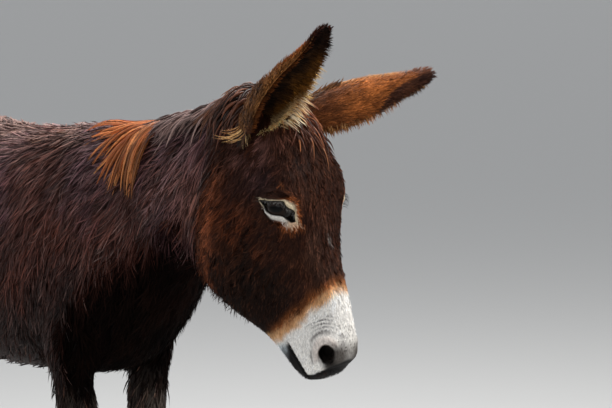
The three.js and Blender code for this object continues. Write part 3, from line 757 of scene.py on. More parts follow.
def ribbons(name, path, across, width, root, tip, unwrap, material=FUR, slot="coat", profile=None, out=None):
    """Tapering locks along paths of shape (tufts, steps + 1, 3), each flat across its way, as one mesh."""
    n, k = path.shape[:2]
    t = np.linspace(0, 1, k)
    taper = np.interp(t, [0, 0.35, 0.75, 1], [0.75, 1.0, 0.7, 0]) if profile is None else np.array(profile)
    half = across * (width[:, None] * taper / 2)[:, :, None]

    def outline(left, right, end):
        """The two edges' points, row by row, and the tip."""
        return np.concatenate([np.stack([left[:, :-1], right[:, :-1]], 2).reshape(n, -1, 3), end[:, -1:]], 1)

    points = outline(path - half, path + half, path)
    face = unit(np.cross(np.gradient(path, axis=1), across))
    if out is not None:
        face = unit(0.6 * face + 0.4 * (out[:, None] if out.ndim == 2 else out))
    shading = unit(outline(face - 0.55 * across, face + 0.55 * across, face))
    per = 2 * k - 1
    a = 2 * np.arange(k - 2)
    tris = np.stack([a, a + 3, a + 1, a, a + 2, a + 3], 1).reshape(-1, 3)
    tris = np.concatenate([tris, [[per - 3, per - 1, per - 2]]])
    along = np.append(np.repeat(t[:-1], 2), 1)
    colour = mix(root[:, None], tip[:, None], along)
    # A patch of 3 thousandths for each tuft, at its root's place in the unwrap
    patch = np.stack([np.append(np.tile([-0.0015, 0.0015], k - 1), 0), along * 0.003 - 0.0015], 1)
    uv = unwrap[:, None] * 0.99 + 0.005 + patch
    faces = (tris + (np.arange(n) * per)[:, None, None]).reshape(-1, 3)
    uv = uv.reshape(-1, 2)[faces.ravel()]
    points, colour, shading = (x.reshape(-1, 3) for x in (points, colour, shading))
    return make(name, points, faces, colour, uv, material, slot, normal=shading)


def comb(P, N, D, length, steps, rise, roll=0.4, sway=0.1, cling=1.0, droop=0.0, skin=None):
    """Paths from the skin at P along D that end at the given rise over it, and their sideways units."""
    t, n = STEPS[steps], len(P)
    length, rise, cling = (np.broadcast_to(x, n) for x in (length, rise, cling))
    side = np.cross(N, D)
    bend = rng.normal(0, sway, n)[:, None]
    path = np.empty((n, len(t), 3))
    path[:, 0] = P - N * 0.0012
    for k in range(1, len(t)):
        s = t[k]
        q = P + D * (length * s)[:, None] + side * (bend * length[:, None] * s * s)
        q[:, 2] -= droop * length * s * s
        wish = rise * s**0.8 + 0.0004
        if skin is None:
            q = q + N * wish[:, None]
        else:
            height, out = skin.at(q)
            q = q + out * ((wish - height) * cling)[:, None]
        path[:, k] = q
    way = np.gradient(path, axis=1)
    across = unit(np.cross(np.broadcast_to(N[:, None], way.shape), way))
    lean = rng.normal(0, roll, n)[:, None, None]
    return path, across * np.cos(lean) + unit(np.cross(way, across)) * np.sin(lean)


def bundle(path, strands, radius, gather=1.4, fray=0.12, outs=None, flat=0.6):
    """Strands round each path that gather to its tip, with their sideways units and the ways out."""
    m, k = path.shape[:2]
    t = np.linspace(0, 1, k)
    way = unit(np.gradient(path, axis=1))
    if outs is None:
        side = unit(np.cross(way, [0.05, 0.1, 1.0]))
        up = unit(np.cross(way, side))
        angle = rng.uniform(0, 2 * np.pi, (m, strands))
    else:
        side, up = unit(np.cross(outs, way)), outs
        angle = rng.uniform(-0.3, np.pi + 0.3, (m, strands))
    r = np.broadcast_to(radius, m)[:, None] * np.sqrt(rng.random((m, strands)))
    spread = (1 - (1 - fray) * t**gather) * (0.5 + 0.5 * np.minimum(1, 3 * t))
    c, s = (f(angle)[:, :, None, None] for f in (np.cos, np.sin))
    out = c * side[:, None] + s * up[:, None] * flat
    reach = rng.uniform(0.7, 1.0, (m, strands))[:, :, None] * t
    low = np.clip((reach * (k - 1)).astype(int), 0, k - 2)
    part = (reach * (k - 1) - low)[..., None]
    rows = np.arange(m)[:, None, None]
    core = between(path[rows, low], path[rows, low + 1], part)
    strand = core + out * (r[:, :, None] * spread)[..., None]
    across = unit(np.cross(out, np.broadcast_to(way[:, None], out.shape)))
    shape = (m * strands, k, 3)
    return strand.reshape(shape), across.reshape(shape), unit(out).reshape(shape)


# ---------------------------------------------------------------- the coat
V, W, F = make_skin()
COARSE = Skin(V, F)
V, W, F = add_detail(V, W, F)
V = sculpt_head(V, F)
N = normals(V, F)
BASE = Places(V, W)
BREAST_SHADE = breast(BASE, N)


def grain_of(s):
    """Coordinates that are stretched along the hair, for the fine relief of short fur."""
    head, legs = s.share(*HEAD_PARTS)[:, None], s.share("lower", "upper")[:, None]
    d = s.P - SHIFT
    trunk = between(d * [140, 420, 140], d * [420, 420, 60], legs)
    return between(trunk, s.Q * HEAD * [150, 620, 420], head)


skin = make("skin", V, F, paint(BASE, N) * 0.8, material=SKIN, slot="coat", grain=grain_of(BASE))
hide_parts(*[n for nodes in NODES for n in nodes if not n.startswith("eye")])

# Each zone's cylinder for its unwrap: a point of the axis, its way, the way up, and the ends along it
UPRIGHT = ((0, 0, 1), (1, 0, 0))
CYLINDERS = {
    "head": (from_head([0, 0, -10]), FACE[:, 0], FACE[:, 2], -0.06, 0.56),
    "neck": (from_body([13, 0, 84]), (0.89, 0, 0.45), (-0.45, 0, 0.89), -0.25, 0.5),
    "trunk": (from_body([0, 0, 78]), (1, 0, 0), (0, 0, 1), -1.05, 0.55),
    "tail": (from_body([-91, 0, 60]), *UPRIGHT, -0.4, 0.4),
}
for leg, (fore, hand) in LEGS.items():
    CYLINDERS[leg] = (from_body([0 if fore else -77, 8 * hand, 0]), *UPRIGHT, 0.05, 0.95)


def unwrap_of(P, zone):
    """A cylinder's unwrap about the zone's axis: shares from 0 to 1."""
    centre, axis, up, low, high = CYLINDERS.get(zone, CYLINDERS["trunk"])
    axis, up = unit(axis), np.asarray(up, float)
    up = unit(up - axis * (up @ axis))
    d = P - centre
    u = np.arctan2(d @ np.cross(axis, up), d @ up) / (2 * np.pi) + 0.5
    return np.stack([u, np.clip((d @ axis - low) / (high - low), 0, 1)], 1)


# Across and along the hair, and the width of its streaks
GRAIN = {
    "neck": ((0.9, -0.1, -0.42), (-0.42, 0, -0.9), 0.0085),
    "chest": ((0.95, 0, -0.26), (-0.26, 0, -0.95), 0.0085),
    "barrel": ((0.75, 0.2, -0.62), (-0.62, 0, -0.75), 0.0085),
    "rump": ((0.86, 0.2, -0.5), (-0.5, 0, -0.86), 0.0085),
    "leg": ((1, 0, 0), (0, 0, -1), 0.005),
    "cheek": (FACE @ [0.8, 0, 0.6], FACE @ [0.6, 0, -0.8], 0.0042),
    "face": (FACE @ [0, 1, 0], FACE @ [1, 0, 0], 0.0042),
}


def drawn_out(P, grain):
    """Noise drawn out along the hair, and how it changes across it."""
    across, along, wide = GRAIN[grain]
    across, along = unit(across), unit(along)
    beside = np.cross(across, along)
    q = np.stack([P @ across / wide, P @ along / (wide * 7), P @ beside / (wide * 3)], 1)
    q = q + 0.9 * streaks(P, wide * 5, 66)
    value = 0.9 * noise(q, 1.0, 61) + 0.8 * noise(q * [2.6, 1.7, 2.4], 1.0, 62)
    change = noise(q + [0.15, 0, 0], 1.0, 61) - noise(q - [0.15, 0, 0], 1.0, 61)
    return value, change[:, None] * across


def streak(P, N, zone):
    """The streaks of a zone's coat: how light the hair is, and how it is pulled aside."""
    if zone == "head":
        front = ramp(0.3, 0.75, N @ FACE[:, 2])
        (a, b), (c, d) = drawn_out(P, "cheek"), drawn_out(P, "face")
        return between(a, c, front), mix(b, d, front)
    if zone in LEGS:
        return drawn_out(P, "leg")
    return drawn_out(P, zone if zone in GRAIN else "rump")


def scatter(weight, per_m2):
    """Points spread over the skin as thick as weight, a function of places, says, and their normals."""
    area = np.linalg.norm(np.cross(V[F[:, 1]] - V[F[:, 0]], V[F[:, 2]] - V[F[:, 0]]), axis=1) / 2
    share = np.clip(weight(BASE)[F].mean(1), 0, 1)
    total = np.cumsum(area * (per_m2 * share * THIN))
    count = int(total[-1])
    face = np.clip(np.searchsorted(total, np.arange(count) + rng.random(count)), 0, len(F) - 1)
    r = rng.random((count, 2))
    r = np.where(r.sum(1, keepdims=True) > 1, 1 - r, r)
    corner = np.concatenate([1 - r.sum(1, keepdims=True), r], 1)
    P, n, w = (np.einsum("ij,ijk->ik", corner, X[F[face]]) for X in (V, N, W))
    return Places(P, w), unit(n)


def value_of(f, s):
    """A number, or what a function gives for the places."""
    return f(s) if callable(f) else f


def coat(zone, weight, per_m2, length, width, rise, steps=3, cling=1.0, slot="coat", sway=0.14, material=FUR,
         contrast=0.7, part="", glint="8a6250"):
    """One zone's tufts. length, width, rise and cling may be functions of the tufts' places."""
    s, n = scatter(weight, per_m2)
    P, count = s.P, len(s.P)
    light, pull = streak(P, n, zone)
    D = flat_on(lie(s, n) + 1.3 * pull + 0.10 * rng.normal(size=P.shape), n)
    L = value_of(length, s) * rng.uniform(0.7, 1.25, count)
    high = value_of(rise, s) * rng.uniform(0.45, 1.1, count) * (1 + 0.45 * np.clip(light, -1, 1))
    path, across = comb(P, n, D, L, steps, high, sway=sway, cling=value_of(cling, s), skin=COARSE)
    tint = paint(s, n)
    calm = 1 - 0.7 * ramp(0.1, 0.4, tint.mean(1))
    clump = np.exp(calm * (contrast * light + 0.26 * rng.normal(size=count)))
    cool = ramp(0.2, 1.0, rng.random(count) + 0.35 * noise(P, 0.02, 71))[:, None]
    tint = tint * np.clip(clump, 0.25, 2.6)[:, None] * (1 + cool * np.array([-0.02, 0.0, 0.03]))
    # Painted shade: the roots darker, deep in the coat, and the tips lighter
    roots = tint * (0.7 + 0.18 * ramp(0.3, 0.6, tint.mean(1))[:, None])
    tips = tint * 1.2 * rng.uniform(0.8, 1.3, (count, 1))
    # A few tips carry a painted glint
    if material is not DARK:
        tips = dye(tips, glint, 0.5 * calm * (rng.random(count) < 0.09))
    wide = value_of(width, s) * rng.uniform(0.7, 1.3, count)
    ribbons("coat_" + zone + part, path, across, wide, roots, tips, unwrap_of(P, zone), material, slot, out=n)


def clumps(zone, weight, per_m2, length, radius, rise, strands=8, material=FUR):
    """Pointed clumps of hair that break the coat's surface, lighter or darker than what is round them."""
    s, n = scatter(weight, per_m2)
    P, count = s.P, len(s.P)
    D = flat_on(lie(s, n) + 0.22 * rng.normal(size=P.shape), n)
    L = value_of(length, s) * rng.uniform(0.7, 1.3, count)
    path, _ = comb(P, n, D, L, 3, rise * rng.uniform(0.7, 1.2, count), roll=0, sway=0.3, skin=COARSE)
    outs = np.broadcast_to(n[:, None], path.shape)
    path, across, outs = bundle(path, strands, radius * rng.uniform(0.6, 1.2, count), 1.3, 0.06, outs, 0.5)
    tint = paint(s, n)
    bright = np.exp((0.42 - 0.3 * ramp(0.1, 0.4, tint.mean(1))) * rng.normal(size=count))
    tint = np.repeat(tint * bright[:, None] * 1.15, strands, 0) * rng.uniform(0.8, 1.25, (len(path), 1))
    wide = rng.uniform(0.0010, 0.0018, len(path))
    uv = np.repeat(unwrap_of(P, zone), strands, 0)
    # Painted shade: the roots darker, deep in the coat, and the tips lighter
    ribbons("clumps_" + zone, path, across, wide, tint * 0.6, tint * 1.25, uv, material, out=outs)


def eye_far(P):
    """Millimetres from the nearer eye's line of sight."""
    eyes = [in_eye(P, hand) for hand in EYES]
    return np.min([np.hypot(q[:, 0], q[:, 1]) + 99 * (q[:, 2] < -10) for q in eyes], axis=0)


def face_open(s):
    """1 on the face but 0 in the openings and on their bare rims."""
    keep = np.ones(len(s.P))
    for hand in (RIGHT, LEFT):
        q, m = in_eye(s.P, hand), in_nostril(s.P, hand)
        keep *= ~((opening(q) > -1.6) & (q[:, 2] > -15) & (np.hypot(q[:, 0], q[:, 1]) < 45))
        keep *= ~((comma(m) > -1.5) & (m[:, 2] > -40))
    above, reach = mouth(s.Q)
    return keep * ~((np.abs(above) < 2.0) & (reach > 0.3))


def jowl(s):
    """1 low on the cheek and 0 on the face."""
    return ramp(6, -22, s.hz) * ramp(78, 50, s.hx)


def head_weight(s):
    return s.share(*HEAD_PARTS) * face_open(s) * (0.75 + 0.5 * ramp(-10, 10, s.hz))


def head_length(s):
    length = 0.010 + 0.017 * jowl(s) + 0.014 * ramp(34, 12, s.hx) * (1 - jowl(s))
    return length * (1 - 0.62 * ramp(72, 80, s.hx)) * (0.42 + 0.58 * ramp(16, 50, eye_far(s.P)))


def head_width(s):
    return 0.0010 + 0.0006 * jowl(s) - 0.0003 * ramp(72, 80, s.hx)


def head_rise(s):
    return 0.0008 + 0.17 * head_length(s)


def head_cling(s):
    return 1 - 0.75 * ramp(-24, -38, s.hz) * ramp(78, 60, s.hx)


def thigh(s):
    """1 on the upper part of a leg."""
    return ramp(36, 56, s.bz)


def leg_length(s):
    behind = s.bx < np.where(s.bx > -40, 0.0, -77.5)
    return 0.013 + 0.017 * thigh(s) + 0.016 * ramp(20, 12, s.bz) * behind + 0.010 * ramp(11, 8.5, s.bz)


coat("head", head_weight, 147000, head_length, head_width, head_rise, cling=head_cling, material=SHORT,
     contrast=1.0, glint="6e4430")
# On the breast the neck and chest coat is painted near black as shade, and takes the dull dark fur
for part, dark, material in (("", False, FUR), ("_dark", True, DARK)):
    coat("neck", lambda s: s.share("neck", "mane") * ((BREAST_SHADE > 0.4) == dark), 59500, 0.062, 0.0018,
         lambda s: 0.013 + 0.006 * s.share("mane"), 4, sway=0.10, contrast=1.3, glint="927a74",
         material=material, part=part)
    coat("chest", lambda s: s.share("chest") * ((BREAST_SHADE > 0.4) == dark), 44500, 0.052, 0.0021, 0.012, 4,
         cling=lambda s: 1 - 0.6 * ramp(66, 58, s.bz), contrast=1.0, glint="8c6a62",
         material=material, part=part)
coat("barrel", lambda s: s.share("barrel"), 32500, 0.045, 0.0025, 0.011,
     cling=lambda s: 1 - 0.4 * ramp(64, 57, s.bz))
coat("rump", lambda s: s.share("rump"), 33500, 0.04, 0.0025, 0.010)
for leg, (fore, hand) in LEGS.items():
    coat(leg, lambda s: s.share("upper", "lower") * ((s.bx > -40) == fore) * ((s.by > 0) == (hand == LEFT)),
         48500, leg_length, lambda s: 0.0017 + 0.0005 * thigh(s), lambda s: 0.003 + 0.004 * thigh(s),
         slot="legs", material=SHORT)
coat("tail", lambda s: s.share("tail"), 60000, 0.045, 0.002, 0.008)

clumps("neck", lambda s: s.share("neck") * (BREAST_SHADE < 0.4), 2600, 0.055, 0.004, 0.016, 9)
clumps("chest", lambda s: s.share("chest") * (BREAST_SHADE < 0.4), 2200, 0.05, 0.004, 0.014, 9)
clumps("barrel", lambda s: s.share("barrel"), 1400, 0.045, 0.004, 0.013)
clumps("rump", lambda s: s.share("rump"), 1200, 0.042, 0.004, 0.012)


def clumped(s):
    """How thick the head's clumps stand: thickest behind the ears and under the cheek, none by the eye."""
    thick = 0.5 + ramp(34, 12, s.hx) + 0.7 * ramp(0, -20, s.hz)
    return s.share("head") * ramp(72, 60, s.hx) * ramp(34, 50, eye_far(s.P)) * thick


clumps("head", clumped, 5200, lambda s: 1.15 * head_length(s), 0.0026, 0.0048, 7, SHORT)


def under_jaw(s):
    """1 under the jaw. It holds for the skin's own points only."""
    under = ramp(0.2, 0.7, N @ -FACE[:, 2]) * (s.hz < -14)
    return s.share(*HEAD_PARTS) * under * ramp(14, 24, s.hx) * ramp(76, 66, s.hx)


# Hair that stands off the jaw
s, n = scatter(under_jaw, 26000)
count = len(s.P)
D = unit(0.3 * n + 0.9 * lie(s, n) + [0, 0, -0.2] + 0.16 * rng.normal(size=n.shape))
path, across = comb(s.P, n, D, rng.uniform(0.010, 0.022, count), 4, 0.001, sway=0.12, droop=0.25)
tint = paint(s, n) * np.exp(0.35 * rng.normal(size=(count, 1)))
width = rng.uniform(0.0008, 0.0014, count)
ribbons("jaw_hairs", path, across, width, tint * 0.7, tint * 1.2, unwrap_of(s.P, "head"), SHORT, out=n)


# ---------------------------------------------------------------- eyes
def make_eye(side):
    at, *axes = EYES[SIDES[side]]
    rows, cols = 38, 56  # rings between the poles, and points in each
    a = np.linspace(0, np.pi, rows + 2)[1:-1]
    b = np.linspace(0, 2 * np.pi, cols, endpoint=False)
    A, B = np.meshgrid(a, b, indexing="ij")
    rings = np.stack([np.sin(A) * np.cos(B), np.sin(A) * np.sin(B), np.cos(A)], -1).reshape(-1, 3)
    local = np.concatenate([[[0, 0, 1]], rings, [[0, 0, -1]]])
    off = np.degrees(np.arccos(np.clip(local[:, 2], -1, 1)))
    radius = EYEBALL * (1 + 0.035 * ramp(48, 20, off))  # the cornea stands a little proud
    P = at + (local * radius[:, None]) @ np.stack(axes)
    F = []
    for j in range(cols):
        k = (j + 1) % cols
        F.append((0, 1 + j, 1 + k))
        F.append((1 + rows * cols, 1 + (rows - 1) * cols + k, 1 + (rows - 1) * cols + j))
        for i in range(rows - 1):
            p, q = 1 + i * cols + j, 1 + i * cols + k
            F += [(p, p + cols, q), (q, p + cols, q + cols)]
    F = np.array(F)
    if side == "right":
        F = F[:, ::-1]
    c, s = math.cos(math.radians(-28)), math.sin(math.radians(-28))
    x, y = local[:, 0] * c - local[:, 1] * s, local[:, 0] * s + local[:, 1] * c
    tint = blend("1a0d06", "0b0604", ramp(26, 50, off))
    tint = dye(tint, "040303", ramp(1.15, 0.9, np.hypot(x / 0.42, y / 0.2)))  # the pupil lies level
    tint = dye(tint, "120d0b", ramp(52, 60, off))
    o = make("eyeball_" + side, P, F, tint, material=WET, slot="eye")
    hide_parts("eye_" + side)


def lashes(side):
    """Dark lashes on the upper lid, pointing out and down over the eye."""
    at, *axes = EYES[SIDES[side]]
    axes = np.stack(axes)
    n = 130
    x = rng.uniform(-36, 30, n)
    y = curve(x, LID_LINE, UPPER_LID) + 0.6
    z = np.maximum(np.sqrt(np.maximum(30.5**2 - x * x - y * y, 0)) + 0.2, 14.5)
    P = at + np.stack([x, y, z], 1) @ axes / MM
    spread = x / 36
    aim = [0.55 * spread + 0.1 * rng.normal(size=n), 0.05 - 0.25 * rng.random(n), np.full(n, 0.9)]
    L = rng.uniform(0.009, 0.016, n) * (1 - 0.35 * np.abs(spread))
    up = np.tile(axes[1], (n, 1))
    path, across = comb(P, up, unit(np.stack(aim, 1)) @ axes, L, 4, 0.0, sway=0.08, droop=0.35)
    tint = np.tile(srgb("0d0908"), (n, 1))
    width = rng.uniform(0.0005, 0.0009, n)
    uv = unwrap_of(path[:, 0], "head")
    ribbons("lashes_" + side, path, across, width, tint, tint * 1.3, uv, HAIR, "mane")


for side in SIDES:
    make_eye(side)
for side in SIDES:
    lashes(side)

# ---------------------------------------------------------------- ears
# Each ear's base in head units, the way to its tip, and the way its cup opens
EARS = {
    "right": ((12.6, -14, 3.2), (-0.46, -0.18, 0.9), (0.73, -0.34, 0.6)),
    "left": ((12, 11.4, 7), (-0.13, 0.8, 0.58), (0.4, 0.5, -0.77)),
}
EAR_SHARE = np.array([-0.12, 0, 0.12, 0.27, 0.45, 0.63, 0.79, 0.92, 1])
EAR_HALF = np.array([0.09, 0.112, 0.148, 0.17, 0.163, 0.128, 0.095, 0.068, 0.028])
EAR_ARC = np.array([140, 130, 112, 96, 84, 76, 74, 64, 50.0])
EAR_BOW = np.array([-0.02, 0, 0.01, 0.018, 0.022, 0.018, 0.006, -0.01, -0.02])
EAR_THICK = 0.034
# The edge of the left ear's dark back along its length
DARK_SHARE = np.array([0.38, 0.47, 0.55, 0.64, 0.77, 0.85, 1.0])
DARK_FRONT = np.array([0, 0.13, 0.25, 0.35, 0.40, 0.43, 0.48])


def ear_axes(side):
    _, tip, cup = EARS[side]
    out = unit(tip)
    across = unit(np.cross(cup, out))
    return out, across, unit(np.cross(out, across))


def ear_point(side, share, s, depth):
    """A point of the ear: share up its length, s across it from 0 to 1, depth into its thickness."""
    out, across, facing = ear_axes(side)
    half = curve(share, EAR_SHARE, EAR_HALF) - 0.024 * ramp(0.0, 0.35, share) * ramp(1.05, 0.8, share)
    arc = np.radians(curve(share, EAR_SHARE, EAR_ARC))
    share = share * 0.97
    full = half / np.sin(np.minimum(arc, np.pi / 2))
    radius = np.maximum(full - depth * EAR_THICK * np.minimum(1, half / 0.1), 0.004)
    angle = arc * (2 * s - 1)
    level = curve(share, EAR_SHARE, EAR_BOW) - radius * np.cos(angle)
    q = out * share[:, None] + across * (radius * np.sin(angle))[:, None] + facing * level[:, None]
    return POLL + (np.array(EARS[side][0]) * HEAD + q * EAR) @ FACE.T


def to_front(side, s):
    """The share across the ear, counted from its rear edge to its front one, or back again."""
    return s if side == "right" else 1 - s


def ear_paint(side, share, s, inside):
    """The ear's colour from its base to its tip, on its back or in its cup."""
    P = np.stack([share * 0.25, s * 0.12, np.zeros(len(s))], 1)
    wob = 0.5 * noise(P, 0.02, 81) + 0.3 * noise(P, 0.006, 82)
    front = to_front(side, s)
    back = blend("935427", "643516", ramp(-0.3, 0.6, wob))
    back = dye(back, "c08a52", 0.6 * ramp(0.32, 0.1, 1 - front) * ramp(0.85, 0.6, share))
    tip, foot = ramp(0.74, 0.88, share + 0.05 * wob), share + 0.06 * wob
    if side == "left":
        back = dye(back, "58321f", tip)
        back = dye(back, "2a1710", (0.5 + 0.42 * ramp(0.3, 0.7, front)) * ramp(0.42, 0.05, foot))
        edge = front - curve(share, DARK_SHARE, DARK_FRONT) + 0.05 * wob
        back = dye(back, "2b1812", 0.92 * ramp(0.035, -0.035, edge) * (share > 0.38))
    else:
        back = dye(back, "442319", tip)
        back = dye(back, "2a1710", 0.92 * ramp(0.3, 0.05, foot))
        back = dye(back, "3f2216", 0.7 * ramp(0.6, 0.2, share) * ramp(-0.2, 0.4, wob + 0.1))
    cup = blend("1a0d05", "6e4519", 0.9 * ramp(0.42, 0.1, front + 0.25 * wob) * ramp(0.9, 0.6, share))
    cup = dye(cup, "3a230f", 0.7 * ramp(0.62, 0.45, front) * ramp(0.1, 0.4, wob + 0.1))
    # Painted shade: near black in the crease towards the cup's rear rim
    cup = dye(cup, "060302", ramp(0.5, 0.64, front + 0.04 * wob) * ramp(0.97, 0.9, front))
    cup = dye(cup, "1d0f0a", 0.8 * ramp(0.7, 0.9, share))
    cup = dye(cup, "e6c08a", ramp(0.3, 0.06, front + 0.8 * share - 0.08) * ramp(0.45, 0.15, front))
    cup = mix(cup, blend("5d3216", "2b1712", ramp(0.75, 0.92, share)), ramp(0.93, 0.97, front))
    return mix(back, cup, inside)


def ear_skin(side):
    """The ear's outer and inner face, joined round their edge."""
    rows, cols = 46, 44
    m = rows * cols
    places = np.meshgrid(np.linspace(-0.12, 1.0, rows), np.linspace(0, 1, cols), indexing="ij")
    share, s = (x.ravel() for x in places)
    rounded = np.sqrt(np.clip(1 - np.abs(2 * s - 1) ** 10, 0.02, 1))
    rounded = rounded * np.sqrt(np.clip(1 - np.clip((share - 0.9) / 0.1, 0, 1) ** 4, 0.05, 1))
    outer, inner = (ear_point(side, share, s, 0.5 + k * 0.32 * rounded) for k in (-1, 1))
    P = np.concatenate([outer, inner])
    grid = np.arange(m).reshape(rows, cols)
    a, b, c, d = (x.ravel() for x in (grid[:-1, :-1], grid[1:, :-1], grid[1:, 1:], grid[:-1, 1:]))
    edge = np.concatenate([grid[:, 0], grid[-1, 1:], grid[-2::-1, -1], grid[0, -2:0:-1]])
    after = np.roll(edge, -1)
    F = [(a, b, c), (a, c, d), (a + m, c + m, b + m), (a + m, d + m, c + m)]
    F += [(edge, edge + m, after + m), (edge, after + m, after)]
    F = np.concatenate([np.stack(f, 1) for f in F])
    tint = np.concatenate([ear_paint(side, share, s, np.full(m, k)) for k in (0, 1)])
    grain = np.concatenate([np.stack([share * 30, s * 90, np.full(m, k)], 1) for k in (0, 5)])
    if (normals(P, F)[:m] * (outer - inner)).sum() < 0:
        F = F[:, ::-1]
    o = make("ear_" + side + "_skin", P, F, tint * 0.8, material=SKIN, slot="ear", grain=grain)
    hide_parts("ear_" + side)


def ear_coat(side, inside):
    """Short hair on the ear's back towards its tip, or longer hair in its cup out to its front edge."""
    count = int((8500 if inside else 11000) * THIN)
    share, s = rng.uniform(-0.06, 0.99, count), rng.random(count)
    half = curve(share, EAR_SHARE, EAR_HALF) * np.radians(curve(share, EAR_SHARE, EAR_ARC))
    keep = rng.random(count) < half / 0.3
    share, s = share[keep], s[keep]
    n, front = len(s), to_front(side, s)
    depth = 0.8 if inside else 0.2
    at = ear_point(side, share, s, depth)
    normal = unit(ear_point(side, share, s, depth + (0.5 if inside else -0.5)) - at)
    ahead = unit(ear_point(side, np.minimum(share + 0.03, 1), s, depth) - at)
    right, left = (ear_point(side, share, np.clip(s + k, 0, 1), depth) for k in (0.04, -0.04))
    beside = unit(right - left)
    if inside:
        aside = SIDES[side] * (0.9 * ramp(0.98, 0.8, front) - 0.5 * ramp(0.85, 0.97, front))
        D = ahead * 0.55 + beside * aside[:, None]
        L = (0.010 + 0.014 * ramp(0.9, 0.2, front)) * ramp(1.1, 0.8, share)
        rise = 0.003 + 0.005 * ramp(0.7, 0.2, front)
        lines = noise(np.stack([share * 9 + s * 2.5, s * 18, np.zeros(n)], 1), 1.0, 85)
    else:
        aside = np.sign(s - 0.5) * 0.35 * (np.abs(s - 0.5) * 2) ** 2
        D = ahead + beside * aside[:, None]
        L = 0.013 * ramp(1.25, 0.85, share)
        rise = (0.003 + 0.003 * ramp(0.2, 0.45, np.abs(s - 0.5))) * ramp(1.15, 0.85, share)
        lines = noise(np.stack([share * 9, s * 26, np.zeros(n)], 1), 1.0, 85)
    D = flat_on(D + 0.10 * rng.normal(size=D.shape), normal)
    path, across = comb(at, normal, D, L * rng.uniform(0.7, 1.3, n), 3, rise * rng.uniform(0.5, 1.3, n))
    clump = np.clip(np.exp(0.55 * lines + 0.3 * rng.normal(size=n)), 0.3, 2.6)
    tint = ear_paint(side, share, s, np.full(n, float(inside))) * clump[:, None]
    name = f"coat_ear_{side}_{'cup' if inside else 'back'}"
    uv = np.stack([s, np.clip(share, 0, 1)], 1)
    width = rng.uniform(0.0009, 0.0016, n)
    ribbons(name, path, across, width, tint * 0.8, tint * 1.25, uv, SHORT, "ear", out=normal)


def shades(n, dark, light, spread=0.25):
    """Random colours from dark to light."""
    pick = rng.random(n)
    return blend(dark, light, pick) * np.clip(1 + spread * rng.normal(size=(n, 1)), 0.4, 2)


def fringe(name, side, shares, fronts, count, length, lean, dark, light, curl, depth, strands=9,
           radius=0.002):
    """Pointed locks from the ear between the given shares and fronts.

    lean and curl say how far they start and end up along the ear, out over its front edge, out of the
    cup, down and backwards.
    """
    count = int(count * THIN)
    share, front = rng.uniform(*shares, count), rng.uniform(*fronts, count)
    at = ear_point(side, share, to_front(side, front), depth)
    out, across, facing = (FACE @ v for v in ear_axes(side))
    hand = SIDES[side]
    axes = np.stack([out, across * hand, facing, [0, 0, -1], unit([-0.6, 0.8 * hand, 0])])
    ways = [np.array(v) @ axes[: len(v)] for v in (lean, curl)]
    start, end = (unit(way + 0.16 * rng.normal(size=(count, 3))) for way in ways)
    L = rng.uniform(*length, count)[:, None, None]
    t = np.linspace(0, 1, 7)[None, :, None]
    path = at[:, None] + L * (start[:, None] * (t - t * t / 2) + end[:, None] * t * t / 2)
    path, across, outs = bundle(path, strands, radius)
    n = len(path)
    tint = np.repeat(shades(count, dark, light, 0.12), strands, 0) * rng.uniform(0.8, 1.2, (n, 1))
    uv = np.repeat(np.stack([np.clip(front, 0, 1), np.clip(share, 0, 1)], 1), strands, 0)
    width = rng.uniform(0.0006, 0.0011, n)
    ribbons(name, path, across, width, tint * 0.75, tint * 1.1, uv, HAIR, "ear", LONG[1:], outs)


